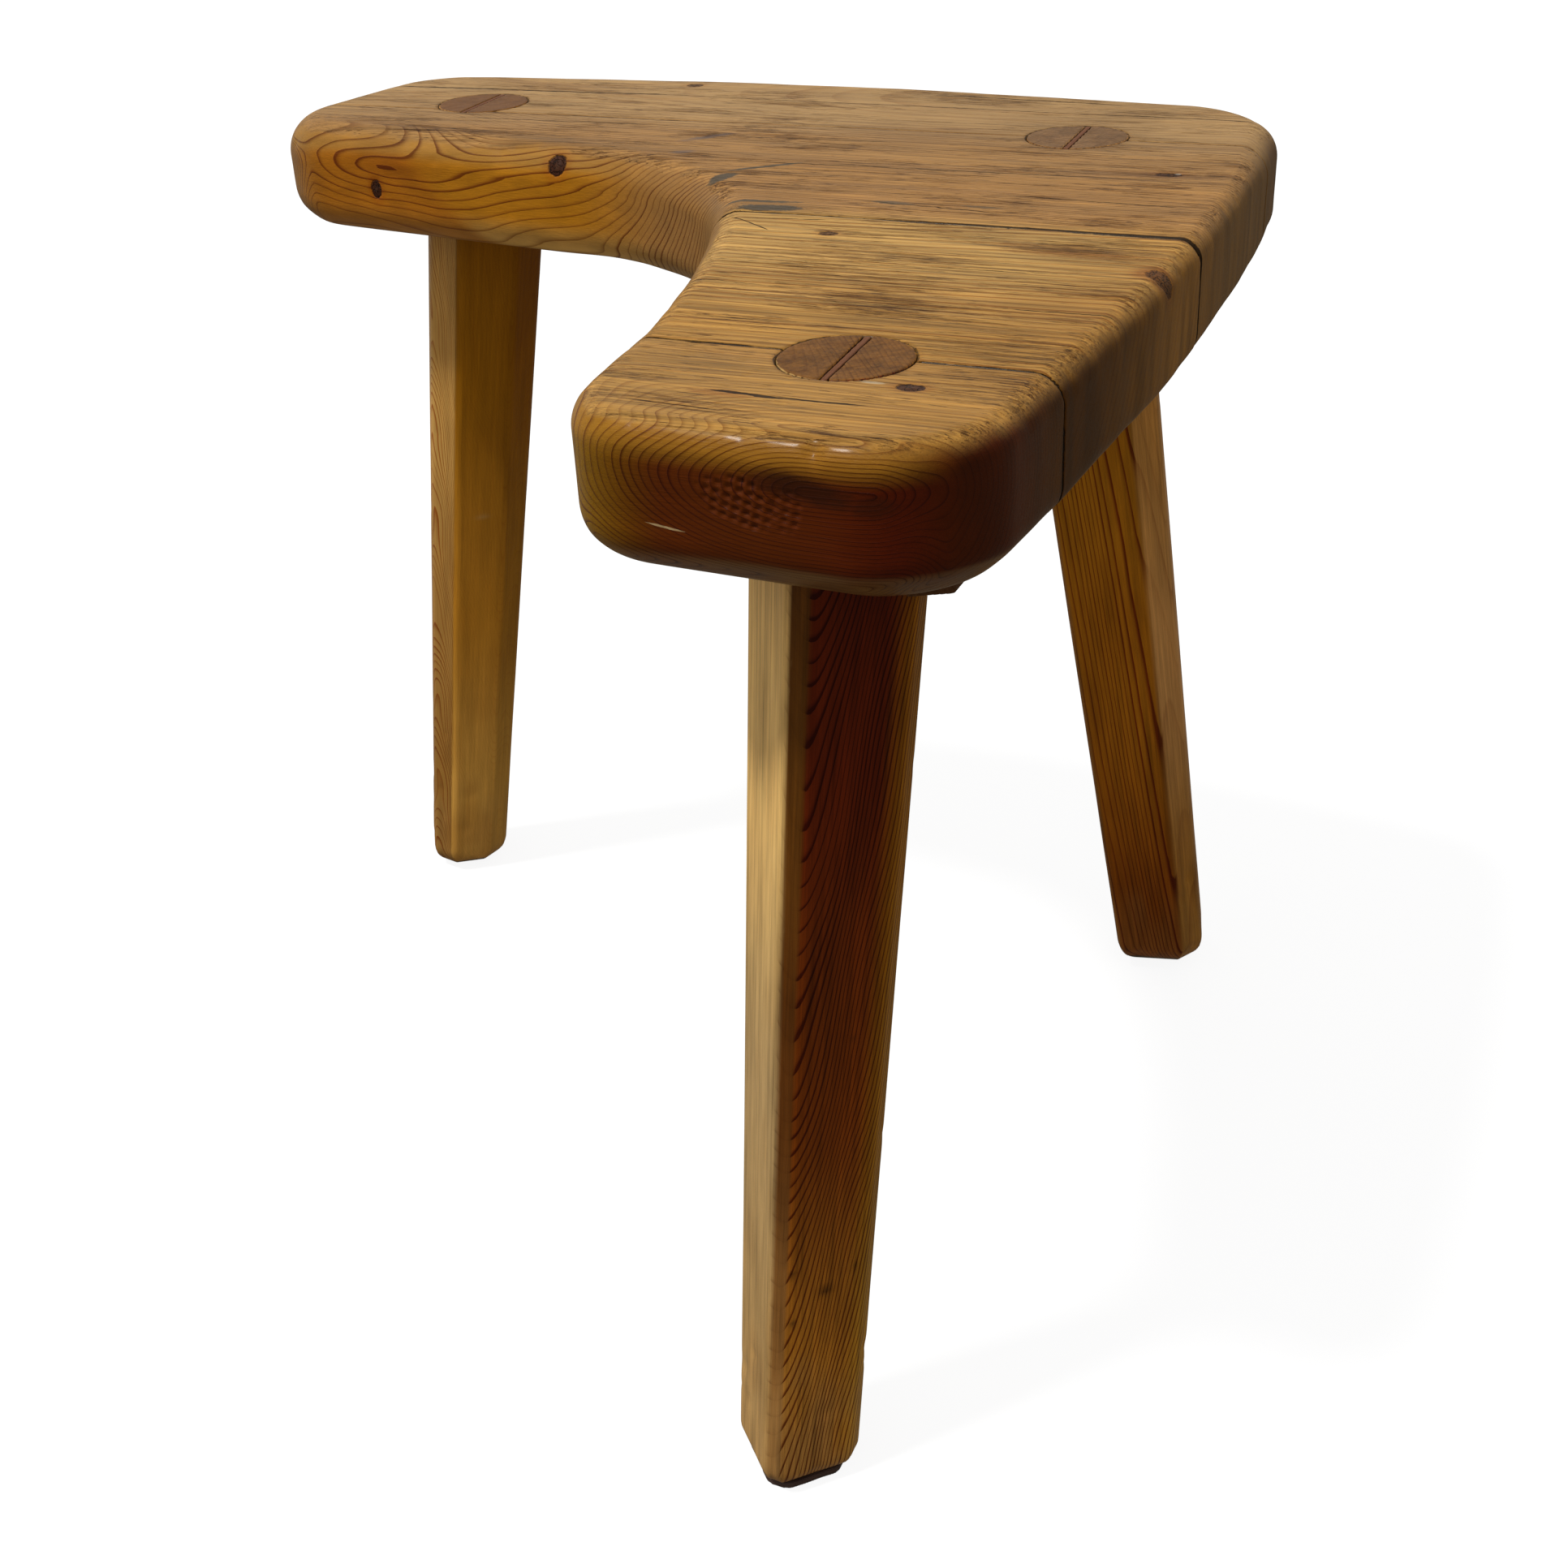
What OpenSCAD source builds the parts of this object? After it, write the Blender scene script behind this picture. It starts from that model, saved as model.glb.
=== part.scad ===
// Three-legged milking stool with an L-shaped (boomerang) seat.
// Four edge-glued pine boards make the seat; three splayed, chamfered legs
// come up through it in wedged round tenons that are centred on the glue joints.
// +Z is up, +X runs along the grain of the boards, +Y towards the back edge.
// The origin is on the floor, under the middle of the whole stool.

/* [Seat] */
// Height of the seat above the floor
seat_h = 416; // [380:2:450]
// Thickness of the seat boards
seat_t = 48; // [44:1:52]
// Rounding of the upper edge
edge_top_r = 18; // [8:1:20]
// Rounding of the lower edge
edge_low_r = 16; // [8:1:18]
// Reach of the back arm, from the corner leg to its tip
back_arm = 384; // [370:1:400]
// Reach of the front arm, from the corner leg to its tip
front_arm = 360; // [350:1:380]
// Distance from the corner leg to the outer edges
outer_margin = 73; // [70:1:80]
// How far the outer right-hand edge bows out
right_bow = 12; // [0:1:14]
// How far the back edge bows out
back_bow = 17; // [0:1:20]
// Width of the notch's mouth line, from the corner leg to the arm tips' inner corners
tip_in = 43; // [40:1:50]
// Same for the front arm
tip_in_front = 53; // [50:1:60]
// Radius of the inner corner of the notch
notch_r = 105; // [80:5:110]

/* [Boards] */
// Glue joint between the back board and the next one
joint_back = -2; // [-6:1:2]
// Glue joint in the middle of the corner
joint_mid = -142; // [-150:1:-135]
// Glue joint that passes through the front leg
joint_front = -290; // [-296:1:-286]

/* [Legs] */
// Distance between the corner leg and each arm leg
leg_pitch = 292; // [285:1:300]
// Sideways set of each arm leg
leg_set = 14; // [8:1:18]
// Diameter of the tenons
tenon_d = 41.5; // [38:0.5:42]
// Width of the left leg across its main faces, just at the seat top
left_w = 57; // [52:1:58]
// Width of the corner leg
corner_w = 56; // [52:1:58]
// Width of the front leg
front_w = 50; // [48:1:54]
// Size of the left leg's foot as a share of its top
left_taper = 0.71; // [0.68:0.01:0.85]
// Size of the corner leg's foot
corner_taper = 0.76; // [0.68:0.01:0.85]
// Size of the front leg's foot
front_taper = 0.78; // [0.68:0.01:0.85]
// Rounding of the feet
foot_round = 4; // [2:0.5:5]

/* [Wedges] */
// Thickness of the wedges at the seat top
wedge_t = 2.6; // [2:0.2:4]
// Depth of the wedges
wedge_depth = 34; // [24:1:40]

/* [Underside] */
// Width of the stiffening batten
batten_w = 13; // [8:1:14]
// Thickness of the batten
batten_t = 12.5; // [6:0.5:16]
// Shank diameter of its wood screws
screw_d = 4; // [3:0.5:4.5]
// Thickness of the glide pad under the front foot
pad_t = 2.5; // [1:0.5:4]

/* [Hidden] */
$fn = 96;

seat_col = "#b8935a";
leg_col = "#a8783c";
dark_col = "#6a4a2c";

// ---------- seat outline ----------
// Six corners, anticlockwise from the back arm's inner tip; z is the fillet.
corner = [[-back_arm - 1, -tip_in, 38], [-133, -74, notch_r], [-tip_in_front, -front_arm + 2, 38],
          [outer_margin + 1, -front_arm - 1, 35], [outer_margin - 1, outer_margin + 2, 42],
          [-back_arm + 22, outer_margin + 6, 30]];
// Bow of the side that follows each corner, outwards positive.
bow = [1.5, -15, 1.5, right_bow, back_bow, 4.5];
nf = 9;   // steps in each fillet
ns = 8;   // steps in each side

function xy(v) = [v[0], v[1]];
function unit(v) = v / norm(v);
function wrap(a) = a > 180 ? a - 360 : a < -180 ? a + 360 : a;
function ang(v) = atan2(v[1], v[0]);
function fillet(i) =
    let (p = xy(corner[i]), r = corner[i][2],
         a = unit(xy(corner[(i + 5) % 6]) - p), b = unit(xy(corner[(i + 1) % 6]) - p),
         h = acos(a * b) / 2, t = r / tan(h), c = p + unit(a + b) * r / sin(h),
         s = p + a * t, e = p + b * t, a0 = ang(s - c), d = wrap(ang(e - c) - a0))
    [for (k = [0:nf]) c + r * [cos(a0 + d * k / nf), sin(a0 + d * k / nf)]];
fillets = [for (i = [0:5]) fillet(i)];
plain = [for (i = [0:5]) each concat(fillets[i],
         [for (k = [1:ns - 1]) let (s = fillets[i][nf], e = fillets[(i + 1) % 6][0]) s + (e - s) * k / ns])];
function push(p, i) =
    let (a = xy(corner[i]), b = xy(corner[(i + 1) % 6]), u = unit(b - a), n = [u[1], -u[0]],
         t = ((p - a) * u) / norm(b - a), d = abs((p - a) * n))
    n * bow[i] * max(0, 4 * t * (1 - t)) * max(0, 1 - d / 60);
outline = [for (p = plain) p + push(p, 0) + push(p, 1) + push(p, 2) + push(p, 3) + push(p, 4) + push(p, 5)];
M = len(outline);
normals = [for (j = [0:M - 1]) let (t = unit(outline[(j + 1) % M] - outline[(j + M - 1) % M])) [t[1], -t[0]]];

// Section of the rounded edge, from the underside up: [height, inset].
section = concat([for (a = [0:22.5:90]) [edge_low_r * (1 - cos(a)), edge_low_r * (1 - sin(a))]],
                 [for (a = [0:18:90]) [seat_t - edge_top_r * (1 - sin(a)), edge_top_r * (1 - cos(a))]]);

// A closed skin over rings of equal length, lowest ring first, each anticlockwise.
// Its ends are fans round a hub that sees the whole of each ring.
module skin(rings, hub0, hub1) {
    m = len(rings[0]);
    n = len(rings);
    polyhedron(points = concat([for (r = rings) each r], [hub0, hub1]),
        faces = concat([for (j = [0:m - 1]) [n * m, j, (j + 1) % m]],
            [for (i = [0:n - 2]) for (j = [0:m - 1])
                [i * m + j, (i + 1) * m + j, (i + 1) * m + (j + 1) % m, i * m + (j + 1) % m]],
            [for (j = [0:m - 1]) [n * m + 1, (n - 1) * m + (j + 1) % m, (n - 1) * m + j]]), convexity = 6);
}

// ---------- legs ----------
// [tenon centre, foot offset, width, direction the main face looks, four edge chamfers,
//  foot size, how far the shoulder sits off the tenon's axis]
// Chamfers go anticlockwise from the edge at the right of the main face.
left_leg = [[-leg_pitch, leg_set], [-55.5, -20.5], left_w, -56, [14, 11, 11, 14], left_taper, [1.8, 1.2]];
corner_leg = [[0, 0], [49.5, 32], corner_w, -76, [14, 9, 9, 3], corner_taper, [-3, -1.5]];
front_leg = [[leg_set, -leg_pitch], [-13.5, -48], front_w, -46, [8, 8, 8, 7], front_taper, [0.3, 0.1]];

function leg_axis(g, z) = g[0] + g[1] * (1 - z / seat_h);
function leg_mid(g, z) = leg_axis(g, z) + g[6] * z / seat_h;
function leg_scale(g, z) = g[5] + (1 - g[5]) * z / seat_h;
// Chamfered square with softened corners, half width h, seen from above.
function leg_plan(g, h) =
    let (w = g[2] / 2, raw = [for (k = [0:3]) let (c = g[4][k], a = g[3] + 90 * k)
            for (q = [[w, w - c], [w - c, w]]) [cos(a) * q[0] - sin(a) * q[1], sin(a) * q[0] + cos(a) * q[1]]],
         n = len(raw), s = h / w)
    [for (i = [0:n - 1]) let (p = raw[i], l = raw[(i + n - 1) % n], r = raw[(i + 1) % n],
            a = min(2.2, norm(l - p) * 0.3), b = min(2.2, norm(r - p) * 0.3))
        for (q = [p + unit(l - p) * a, p + (unit(l - p) * a + unit(r - p) * b) * 0.22, p + unit(r - p) * b]) q * s];
function leg_ring(g, z, inset) = let (c = leg_mid(g, z))
    [for (p = leg_plan(g, g[2] / 2 * leg_scale(g, z) - inset)) [c[0] + p[0], c[1] + p[1], z]];
function leg_rings(g, z0) = concat(
    [for (a = [0:30:90]) leg_ring(g, z0 + foot_round * (1 - cos(a)), foot_round * (1 - sin(a)))],
    [for (k = [1:5]) leg_ring(g, z0 + foot_round + (seat_h - seat_t - z0 - foot_round) * k / 5, 0)]);

// Puts children on the leg's axis, with z = 0 at the seat top.
module on_axis(g) {
    a = atan(norm(g[1]) / seat_h);
    p = atan2(-g[1][1], -g[1][0]);
    translate([g[0][0], g[0][1], seat_h]) rotate([0, a, p]) rotate([0, 0, -p]) children();
}
module tenon(g, extra = 0, low = 0) {
    intersection() {
        on_axis(g) translate([0, 0, -seat_t - 14]) cylinder(r = tenon_d / 2 + extra, h = seat_t + 28);
        translate([g[0][0] - 60, g[0][1] - 60, seat_h - seat_t - low]) cube([120, 120, seat_t + low]);
    }
}
// Tapered wedge, across the grain, as wide as the tenon.
module wedge_blank(g) {
    on_axis(g) rotate([90, 0, 3]) translate([0, 0, -tenon_d])
        linear_extrude(height = 2 * tenon_d)
            polygon([[-0.4, -wedge_depth], [0.4, -wedge_depth], [wedge_t / 2 + 0.1, 5], [-wedge_t / 2 - 0.1, 5]]);
}

foot_l = leg_rings(left_leg, 0);
foot_c = leg_rings(corner_leg, 0);
foot_f = leg_rings(front_leg, pad_t);

// ---------- middle of the stool ----------
all_xy = concat(outline, [for (r = concat(foot_l, foot_c, foot_f)) for (p = r) xy(p)]);
mid = [(min([for (p = all_xy) p[0]]) + max([for (p = all_xy) p[0]])) / 2,
       (min([for (p = all_xy) p[1]]) + max([for (p = all_xy) p[1]])) / 2];
module centred() translate([-mid[0], -mid[1], 0]) children();

// ---------- seat ----------
module slab() {
    translate([0, 0, seat_h - seat_t])
        skin([for (s = section) [for (j = [0:M - 1]) [outline[j][0] - normals[j][0] * s[1],
                                                    outline[j][1] - normals[j][1] * s[1], s[0]]]],
             [20, 25, 0], [20, 25, seat_t]);
}
batten_x = 42.5;
batten_y = [-318, 50];
screw_y = [-304, -216, -72, 26];
module screw_space(y, extra) {
    translate([batten_x + batten_w / 2, y, seat_h - seat_t - batten_t]) {
        cylinder(d = screw_d + extra, h = 34 + extra);
        rotate_extrude() polygon([[0, -0.01], [screw_d + extra / 2, -0.01], [screw_d / 2 + extra / 2, 2.4], [0, 2.4]]);
    }
}
module board(y0, y1) {
    difference() {
        slab();
        translate([-500, y1, seat_h - seat_t - 5]) cube([700, 400, seat_t + 10]);
        translate([-500, y0 - 400, seat_h - seat_t - 5]) cube([700, 400, seat_t + 10]);
        for (g = [left_leg, corner_leg, front_leg])
            if (g[0][1] + 26 > y0 && g[0][1] - 26 < y1)
                on_axis(g) translate([0, 0, -seat_t - 20]) cylinder(r = tenon_d / 2 + 0.05, h = seat_t + 40);
        for (y = screw_y) if (y > y0 && y < y1) screw_space(y, 0.1);
    }
}
module seat_board_back() color(seat_col) centred() board(joint_back, 140);
module seat_board_mid_back() color(seat_col) centred() board(joint_mid, joint_back);
module seat_board_mid_front() color(seat_col) centred() board(joint_front, joint_mid);
module seat_board_front() color(seat_col) centred() board(-420, joint_front);

// ---------- one leg with its tenon and the saw kerf for its wedge ----------
module leg(g, rings) {
    color(leg_col) centred() difference() {
        union() {
            skin(rings, concat(leg_mid(g, rings[0][0][2]), rings[0][0][2]),
                 concat(leg_mid(g, seat_h - seat_t), seat_h - seat_t));
            tenon(g, 0, 1);
        }
        wedge_blank(g);
    }
}
module leg_left() leg(left_leg, foot_l);
module leg_corner() leg(corner_leg, foot_c);
module leg_front() leg(front_leg, foot_f);

module wedge(g) {
    color(dark_col) centred() intersection() {
        tenon(g);
        wedge_blank(g);
    }
}
module wedge_left() wedge(left_leg);
module wedge_corner() wedge(corner_leg);
module wedge_front() wedge(front_leg);

// ---------- underside ----------
// Slim strip across the glue joints, sawn off askew at the front.
module underside_batten() {
    color(dark_col) centred() difference() {
        translate([0, 0, seat_h - seat_t - batten_t]) linear_extrude(height = batten_t)
            polygon([[batten_x, batten_y[0] - 4], [batten_x + batten_w, batten_y[0] + 3],
                     [batten_x + batten_w, batten_y[1]], [batten_x, batten_y[1]]]);
        for (y = screw_y) screw_space(y, 0.1);
    }
}
module batten_screws() {
    color("#8a8780") centred() for (y = screw_y) difference() {
        screw_space(y, 0);
        translate([batten_x + batten_w / 2 - 5, y - 0.5, seat_h - seat_t - batten_t - 0.5]) cube([10, 1, 1.5]);
    }
}
// Pad glued under the front foot, a little smaller than the foot.
module foot_pad() {
    c = leg_mid(front_leg, pad_t);
    color(dark_col) centred() translate([c[0], c[1], 0]) linear_extrude(height = pad_t)
        polygon(leg_plan(front_leg, front_leg[2] / 2 * leg_scale(front_leg, pad_t) - foot_round + 0.5));
}

seat_board_back();
seat_board_mid_back();
seat_board_mid_front();
seat_board_front();
leg_left();
leg_corner();
leg_front();
wedge_left();
wedge_corner();
wedge_front();
underside_batten();
batten_screws();
foot_pad();
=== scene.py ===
import bpy
import math
import numpy as np
from mathutils import Matrix, Vector


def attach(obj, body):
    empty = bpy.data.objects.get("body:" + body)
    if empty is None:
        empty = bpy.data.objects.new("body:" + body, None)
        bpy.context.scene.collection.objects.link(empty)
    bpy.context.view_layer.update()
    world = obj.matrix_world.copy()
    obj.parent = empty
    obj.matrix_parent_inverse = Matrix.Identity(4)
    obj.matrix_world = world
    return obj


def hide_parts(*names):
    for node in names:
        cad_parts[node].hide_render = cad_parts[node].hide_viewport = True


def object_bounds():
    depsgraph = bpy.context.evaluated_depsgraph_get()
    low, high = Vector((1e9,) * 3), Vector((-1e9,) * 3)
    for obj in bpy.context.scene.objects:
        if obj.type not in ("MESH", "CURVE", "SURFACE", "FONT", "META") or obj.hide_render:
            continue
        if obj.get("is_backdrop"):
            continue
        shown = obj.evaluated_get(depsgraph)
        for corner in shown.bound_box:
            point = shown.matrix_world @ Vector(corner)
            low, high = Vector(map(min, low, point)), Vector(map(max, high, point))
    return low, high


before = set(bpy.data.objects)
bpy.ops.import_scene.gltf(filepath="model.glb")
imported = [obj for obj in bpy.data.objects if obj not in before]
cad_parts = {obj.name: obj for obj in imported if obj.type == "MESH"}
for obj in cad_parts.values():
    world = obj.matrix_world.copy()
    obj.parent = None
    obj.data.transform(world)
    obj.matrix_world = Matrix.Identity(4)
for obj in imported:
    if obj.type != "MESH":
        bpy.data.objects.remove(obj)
cad_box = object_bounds()
MM = 0.001


# ------------------------------------------------------------------ small helpers
def lin(r, g, b):
    """8-bit display colour to linear."""
    return np.array([(c / 255 / 12.92) if c <= 10.3 else ((c / 255 + 0.055) / 1.055) ** 2.4 for c in (r, g, b)])


def sstep(a, b, x):
    t = np.clip((x - a) / (b - a), 0, 1)
    return t * t * (3 - 2 * t)


def mix(a, b, t):
    t = np.asarray(t)
    if np.ndim(a) or np.ndim(b):
        t = t[..., None]
    return a * (1 - t) + b * t


def hash3(i, j, k, seed):
    with np.errstate(over="ignore"):
        h = (i.astype(np.uint32) * np.uint32(374761393) + j.astype(np.uint32) * np.uint32(668265263)
             + k.astype(np.uint32) * np.uint32(2246822519) + np.uint32(seed * 3266489917 % 4294967296))
        h ^= h >> np.uint32(15)
        h *= np.uint32(2246822519)
        h ^= h >> np.uint32(13)
        h *= np.uint32(3266489917)
        h ^= h >> np.uint32(16)
    return h.astype(np.float64) / 4294967295.0


def vnoise(p, scale, seed=0):
    """Smooth value noise from -1 to 1; scale is one number or three, in mm."""
    q = p / np.asarray(scale, float)
    i = np.floor(q)
    f = q - i
    i = i.astype(np.int64)
    f = f * f * f * (f * (f * 6 - 15) + 10)
    out = 0
    for a in (0, 1):
        for b in (0, 1):
            for c in (0, 1):
                w = (f[:, 0] if a else 1 - f[:, 0]) * (f[:, 1] if b else 1 - f[:, 1]) * (f[:, 2] if c else 1 - f[:, 2])
                out = out + w * hash3(i[:, 0] + a, i[:, 1] + b, i[:, 2] + c, seed)
    return out * 2 - 1


def rmax(a, b, r):
    """Rounded intersection of two signed distances."""
    return np.minimum(np.maximum(a, b), -r) + np.hypot(np.maximum(a + r, 0), np.maximum(b + r, 0))


# ------------------------------------------------------------------ the seat's outline (as in the CAD)
SEAT_H, SEAT_T = 416.0, 48.0
MID = np.array([-148.302, -134.526])
LOW = SEAT_H - SEAT_T
CORNER = np.array([[-385, -43, 38], [-133, -74, 105], [-53, -358, 38], [74, -361, 35], [72, 75, 42], [-362, 79, 30]], float)
BOW = [1.5, -15, 1.5, 12, 17, 4.5]
JOINTS = [-2 - MID[1], -142 - MID[1], -290 - MID[1]]   # row y of the three glue joints


def unit(v):
    return v / np.linalg.norm(v)


def outline():
    nf, ns = 30, 36
    fil = []
    for i in range(6):
        p, r = CORNER[i, :2], CORNER[i, 2]
        a, b = unit(CORNER[i - 1, :2] - p), unit(CORNER[(i + 1) % 6, :2] - p)
        h = math.acos(a @ b) / 2
        t = r / math.tan(h)
        c = p + unit(a + b) * r / math.sin(h)
        s, e = p + a * t, p + b * t
        a0 = math.atan2(*(s - c)[::-1])
        d = (math.atan2(*(e - c)[::-1]) - a0 + math.pi) % (2 * math.pi) - math.pi
        fil.append(np.array([c + r * np.array([math.cos(a0 + d * k / nf), math.sin(a0 + d * k / nf)]) for k in range(nf + 1)]))
    pts = []
    for i in range(6):
        pts.append(fil[i])
        s, e = fil[i][-1], fil[(i + 1) % 6][0]
        pts.append(np.array([s + (e - s) * k / ns for k in range(1, ns)]))
    pts = np.concatenate(pts)
    out = pts.copy()
    for i in range(6):
        a, b = CORNER[i, :2], CORNER[(i + 1) % 6, :2]
        u = unit(b - a)
        n = np.array([u[1], -u[0]])
        t = ((pts - a) @ u) / np.linalg.norm(b - a)
        d = np.abs((pts - a) @ n)
        out += n * (BOW[i] * np.maximum(0, 4 * t * (1 - t)) * np.maximum(0, 1 - d / 60))[:, None]
    return out - MID


OUT = outline()
GX, GY, GS = np.arange(-244, 245, 1.0), np.arange(-240, 241, 1.0), 1.0


def outline_distance():
    """Signed distance to the outline on a 1 mm grid, negative inside."""
    X, Y = np.meshgrid(GX, GY, indexing="ij")
    P = np.stack([X.ravel(), Y.ravel()], 1)
    best = np.full(len(P), 1e9)
    inside = np.zeros(len(P), bool)
    for a, b in zip(OUT, np.roll(OUT, -1, 0)):
        e = b - a
        w = P - a
        t = np.clip((w @ e) / (e @ e), 0, 1)
        q = w - t[:, None] * e
        best = np.minimum(best, (q * q).sum(1))
        if a[1] != b[1]:
            c = ((a[1] > P[:, 1]) != (b[1] > P[:, 1])) & (P[:, 0] < (b[0] - a[0]) * (P[:, 1] - a[1]) / (b[1] - a[1]) + a[0])
            inside ^= c
    d = np.sqrt(best) * np.where(inside, -1, 1)
    P3 = np.c_[P, np.zeros(len(P))]
    d = d + 0.35 * vnoise(P3, 34, 5) + 0.15 * vnoise(P3, 13, 6) + 0.3   # hand-cut outline, inside the CAD's
    rt = 14.6 + 1.3 * vnoise(P3, 46, 7) + 2.5 * sstep(-170, -225, P[:, 0])
    rt -= 6.2 * sstep(50, 120, P[:, 0]) * sstep(200, 70, P[:, 1])          # tighter on the front arm and the outer edge
    rl = 15.2 + 1.2 * vnoise(P3, 40, 8)
    # rough flat worked along the lower outer edge of the front arm
    ch = -(0.4142 * rl) - 0.15 - 0.75 * sstep(118, 165, P[:, 0]) * sstep(150, 40, P[:, 1]) * (1 + 0.6 * vnoise(P3, 30, 9))
    return [a.reshape(X.shape) for a in (d, rt, rl, ch)]


D2, RT, RL, CH = outline_distance()


def look(grids, x, y):
    u = np.clip((x - GX[0]) / GS, 0, len(GX) - 1.001)
    v = np.clip((y - GY[0]) / GS, 0, len(GY) - 1.001)
    i, j = u.astype(int), v.astype(int)
    u, v = u - i, v - j
    w = ((1 - u) * (1 - v), u * (1 - v), (1 - u) * v, u * v)
    return [w[0] * g[i, j] + w[1] * g[i + 1, j] + w[2] * g[i, j + 1] + w[3] * g[i + 1, j + 1] for g in grids]


# ------------------------------------------------------------------ legs (as in the CAD)
LEGS = {
    "leg_left": dict(top=(-292, 14), foot=(-55.5, -20.5), w=57, face=-56, ch=(14, 11, 11, 14), taper=0.71, sh=(1.8, 1.2), z0=0.0, foot_r=14.0),
    "leg_corner": dict(top=(0, 0), foot=(49.5, 32), w=56, face=-76, ch=(14, 9, 9, 3), taper=0.76, sh=(-3, -1.5), z0=0.0, foot_r=17.0),
    "leg_front": dict(top=(14, -292), foot=(-13.5, -48), w=50, face=-46, ch=(8, 8, 8, 7), taper=0.78, sh=(0.3, 0.1), z0=2.5, foot_r=9.0),
}
TENON_R = 20.75
for g in LEGS.values():
    g["top"] = np.array(g["top"], float) - MID
    g["foot"], g["sh"] = np.array(g["foot"], float), np.array(g["sh"], float)
    g["dir"] = unit(np.array([g["foot"][0], g["foot"][1], -SEAT_H]))      # along the tenon's axis, downwards


def leg_mid(g, z):
    z = np.asarray(z, float)[..., None]
    return g["top"] + g["foot"] * (1 - z / SEAT_H) + g["sh"] * z / SEAT_H


def leg_scale(g, z):
    return g["taper"] + (1 - g["taper"]) * z / SEAT_H


def axis_distance(g, p):
    w = p - np.array([*g["top"], SEAT_H])
    d = g["dir"]
    return np.linalg.norm(w - (w @ d)[:, None] * d, axis=1), w


def wedge_coords(g, w):
    """Coordinates in the tenon's frame: across the wedge, along the wedge, and up the axis."""
    up = -g["dir"]
    a = math.radians(3)
    x0 = np.array([math.cos(a), math.sin(a), 0])
    x = unit(x0 - (x0 @ up) * up)
    y = np.cross(up, x)
    return w @ x, w @ y, w @ up


# ------------------------------------------------------------------ surface from a signed distance
def nets(F, xs, ys, zs):
    s = F < 0
    cnt = sum(s[a:F.shape[0] - 1 + a, b:F.shape[1] - 1 + b, c:F.shape[2] - 1 + c].astype(np.int8)
              for a in (0, 1) for b in (0, 1) for c in (0, 1))
    act = (cnt > 0) & (cnt < 8)
    idx = np.full(act.shape, -1, np.int64)
    ci, cj, ck = np.nonzero(act)
    idx[ci, cj, ck] = np.arange(len(ci))
    acc, num = np.zeros((len(ci), 3)), np.zeros(len(ci))
    for ax in range(3):
        e = [0, 0, 0]
        e[ax] = 1
        o = [k for k in range(3) if k != ax]
        for p in (0, 1):
            for q in (0, 1):
                a = [0, 0, 0]
                a[o[0]], a[o[1]] = p, q
                ia, ja, ka = ci + a[0], cj + a[1], ck + a[2]
                ib, jb, kb = ia + e[0], ja + e[1], ka + e[2]
                fa, fb = F[ia, ja, ka], F[ib, jb, kb]
                m = (fa < 0) != (fb < 0)
                t = (fa / np.where(m, fa - fb, 1))[:, None]
                pa, pb = np.stack([xs[ia], ys[ja], zs[ka]], 1), np.stack([xs[ib], ys[jb], zs[kb]], 1)
                acc += np.where(m[:, None], pa + (pb - pa) * t, 0)
                num += m
    v = acc / num[:, None]
    faces = []
    for ax in range(3):
        lo, hi = [slice(None)] * 3, [slice(None)] * 3
        lo[ax], hi[ax] = slice(None, -1), slice(1, None)
        ch = s[tuple(lo)] != s[tuple(hi)]
        o = [k for k in range(3) if k != ax]
        i = np.stack(np.nonzero(ch), 1)
        i = i[(i[:, o[0]] > 0) & (i[:, o[1]] > 0) & (i[:, o[0]] < F.shape[o[0]] - 1) & (i[:, o[1]] < F.shape[o[1]] - 1)]
        cells = []
        for du, dv in ((1, 1), (0, 1), (0, 0), (1, 0)):
            c = i.copy()
            c[:, o[0]] -= du
            c[:, o[1]] -= dv
            cells.append(idx[c[:, 0], c[:, 1], c[:, 2]])
        q = np.stack(cells, 1)
        flip = ~s[i[:, 0], i[:, 1], i[:, 2]]
        if ax == 1:
            flip = ~flip
        q[flip] = q[flip][:, ::-1]
        faces.append(q)
    return v, np.concatenate(faces)


def gradient(f, p, e=0.06):
    g = np.stack([f(p + d) - f(p - d) for d in np.eye(3) * e], 1) / (2 * e)
    return g


def settle(f, p, cell, steps=4):
    for _ in range(steps):
        g = gradient(f, p)
        n2 = np.maximum((g * g).sum(1), 0.05)
        step = -(f(p) / n2)[:, None] * g
        L = np.linalg.norm(step, axis=1, keepdims=True)
        p = p + step * np.minimum(1, 0.5 * cell / np.maximum(L, 1e-9))
    g = gradient(f, p)
    return p, g / np.maximum(np.linalg.norm(g, axis=1, keepdims=True), 1e-6)


def grid_eval(f, xs, ys, zs):
    F = np.empty((len(xs), len(ys), len(zs)))
    Y, Z = np.meshgrid(ys, zs, indexing="ij")
    step = max(1, 400000 // Y.size)
    for i in range(0, len(xs), step):
        x = xs[i:i + step]
        P = np.stack([np.repeat(x, Y.size), np.tile(Y.ravel(), len(x)), np.tile(Z.ravel(), len(x))], 1)
        F[i:i + step] = f(P).reshape(len(x), *Y.shape)
    return F


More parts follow.
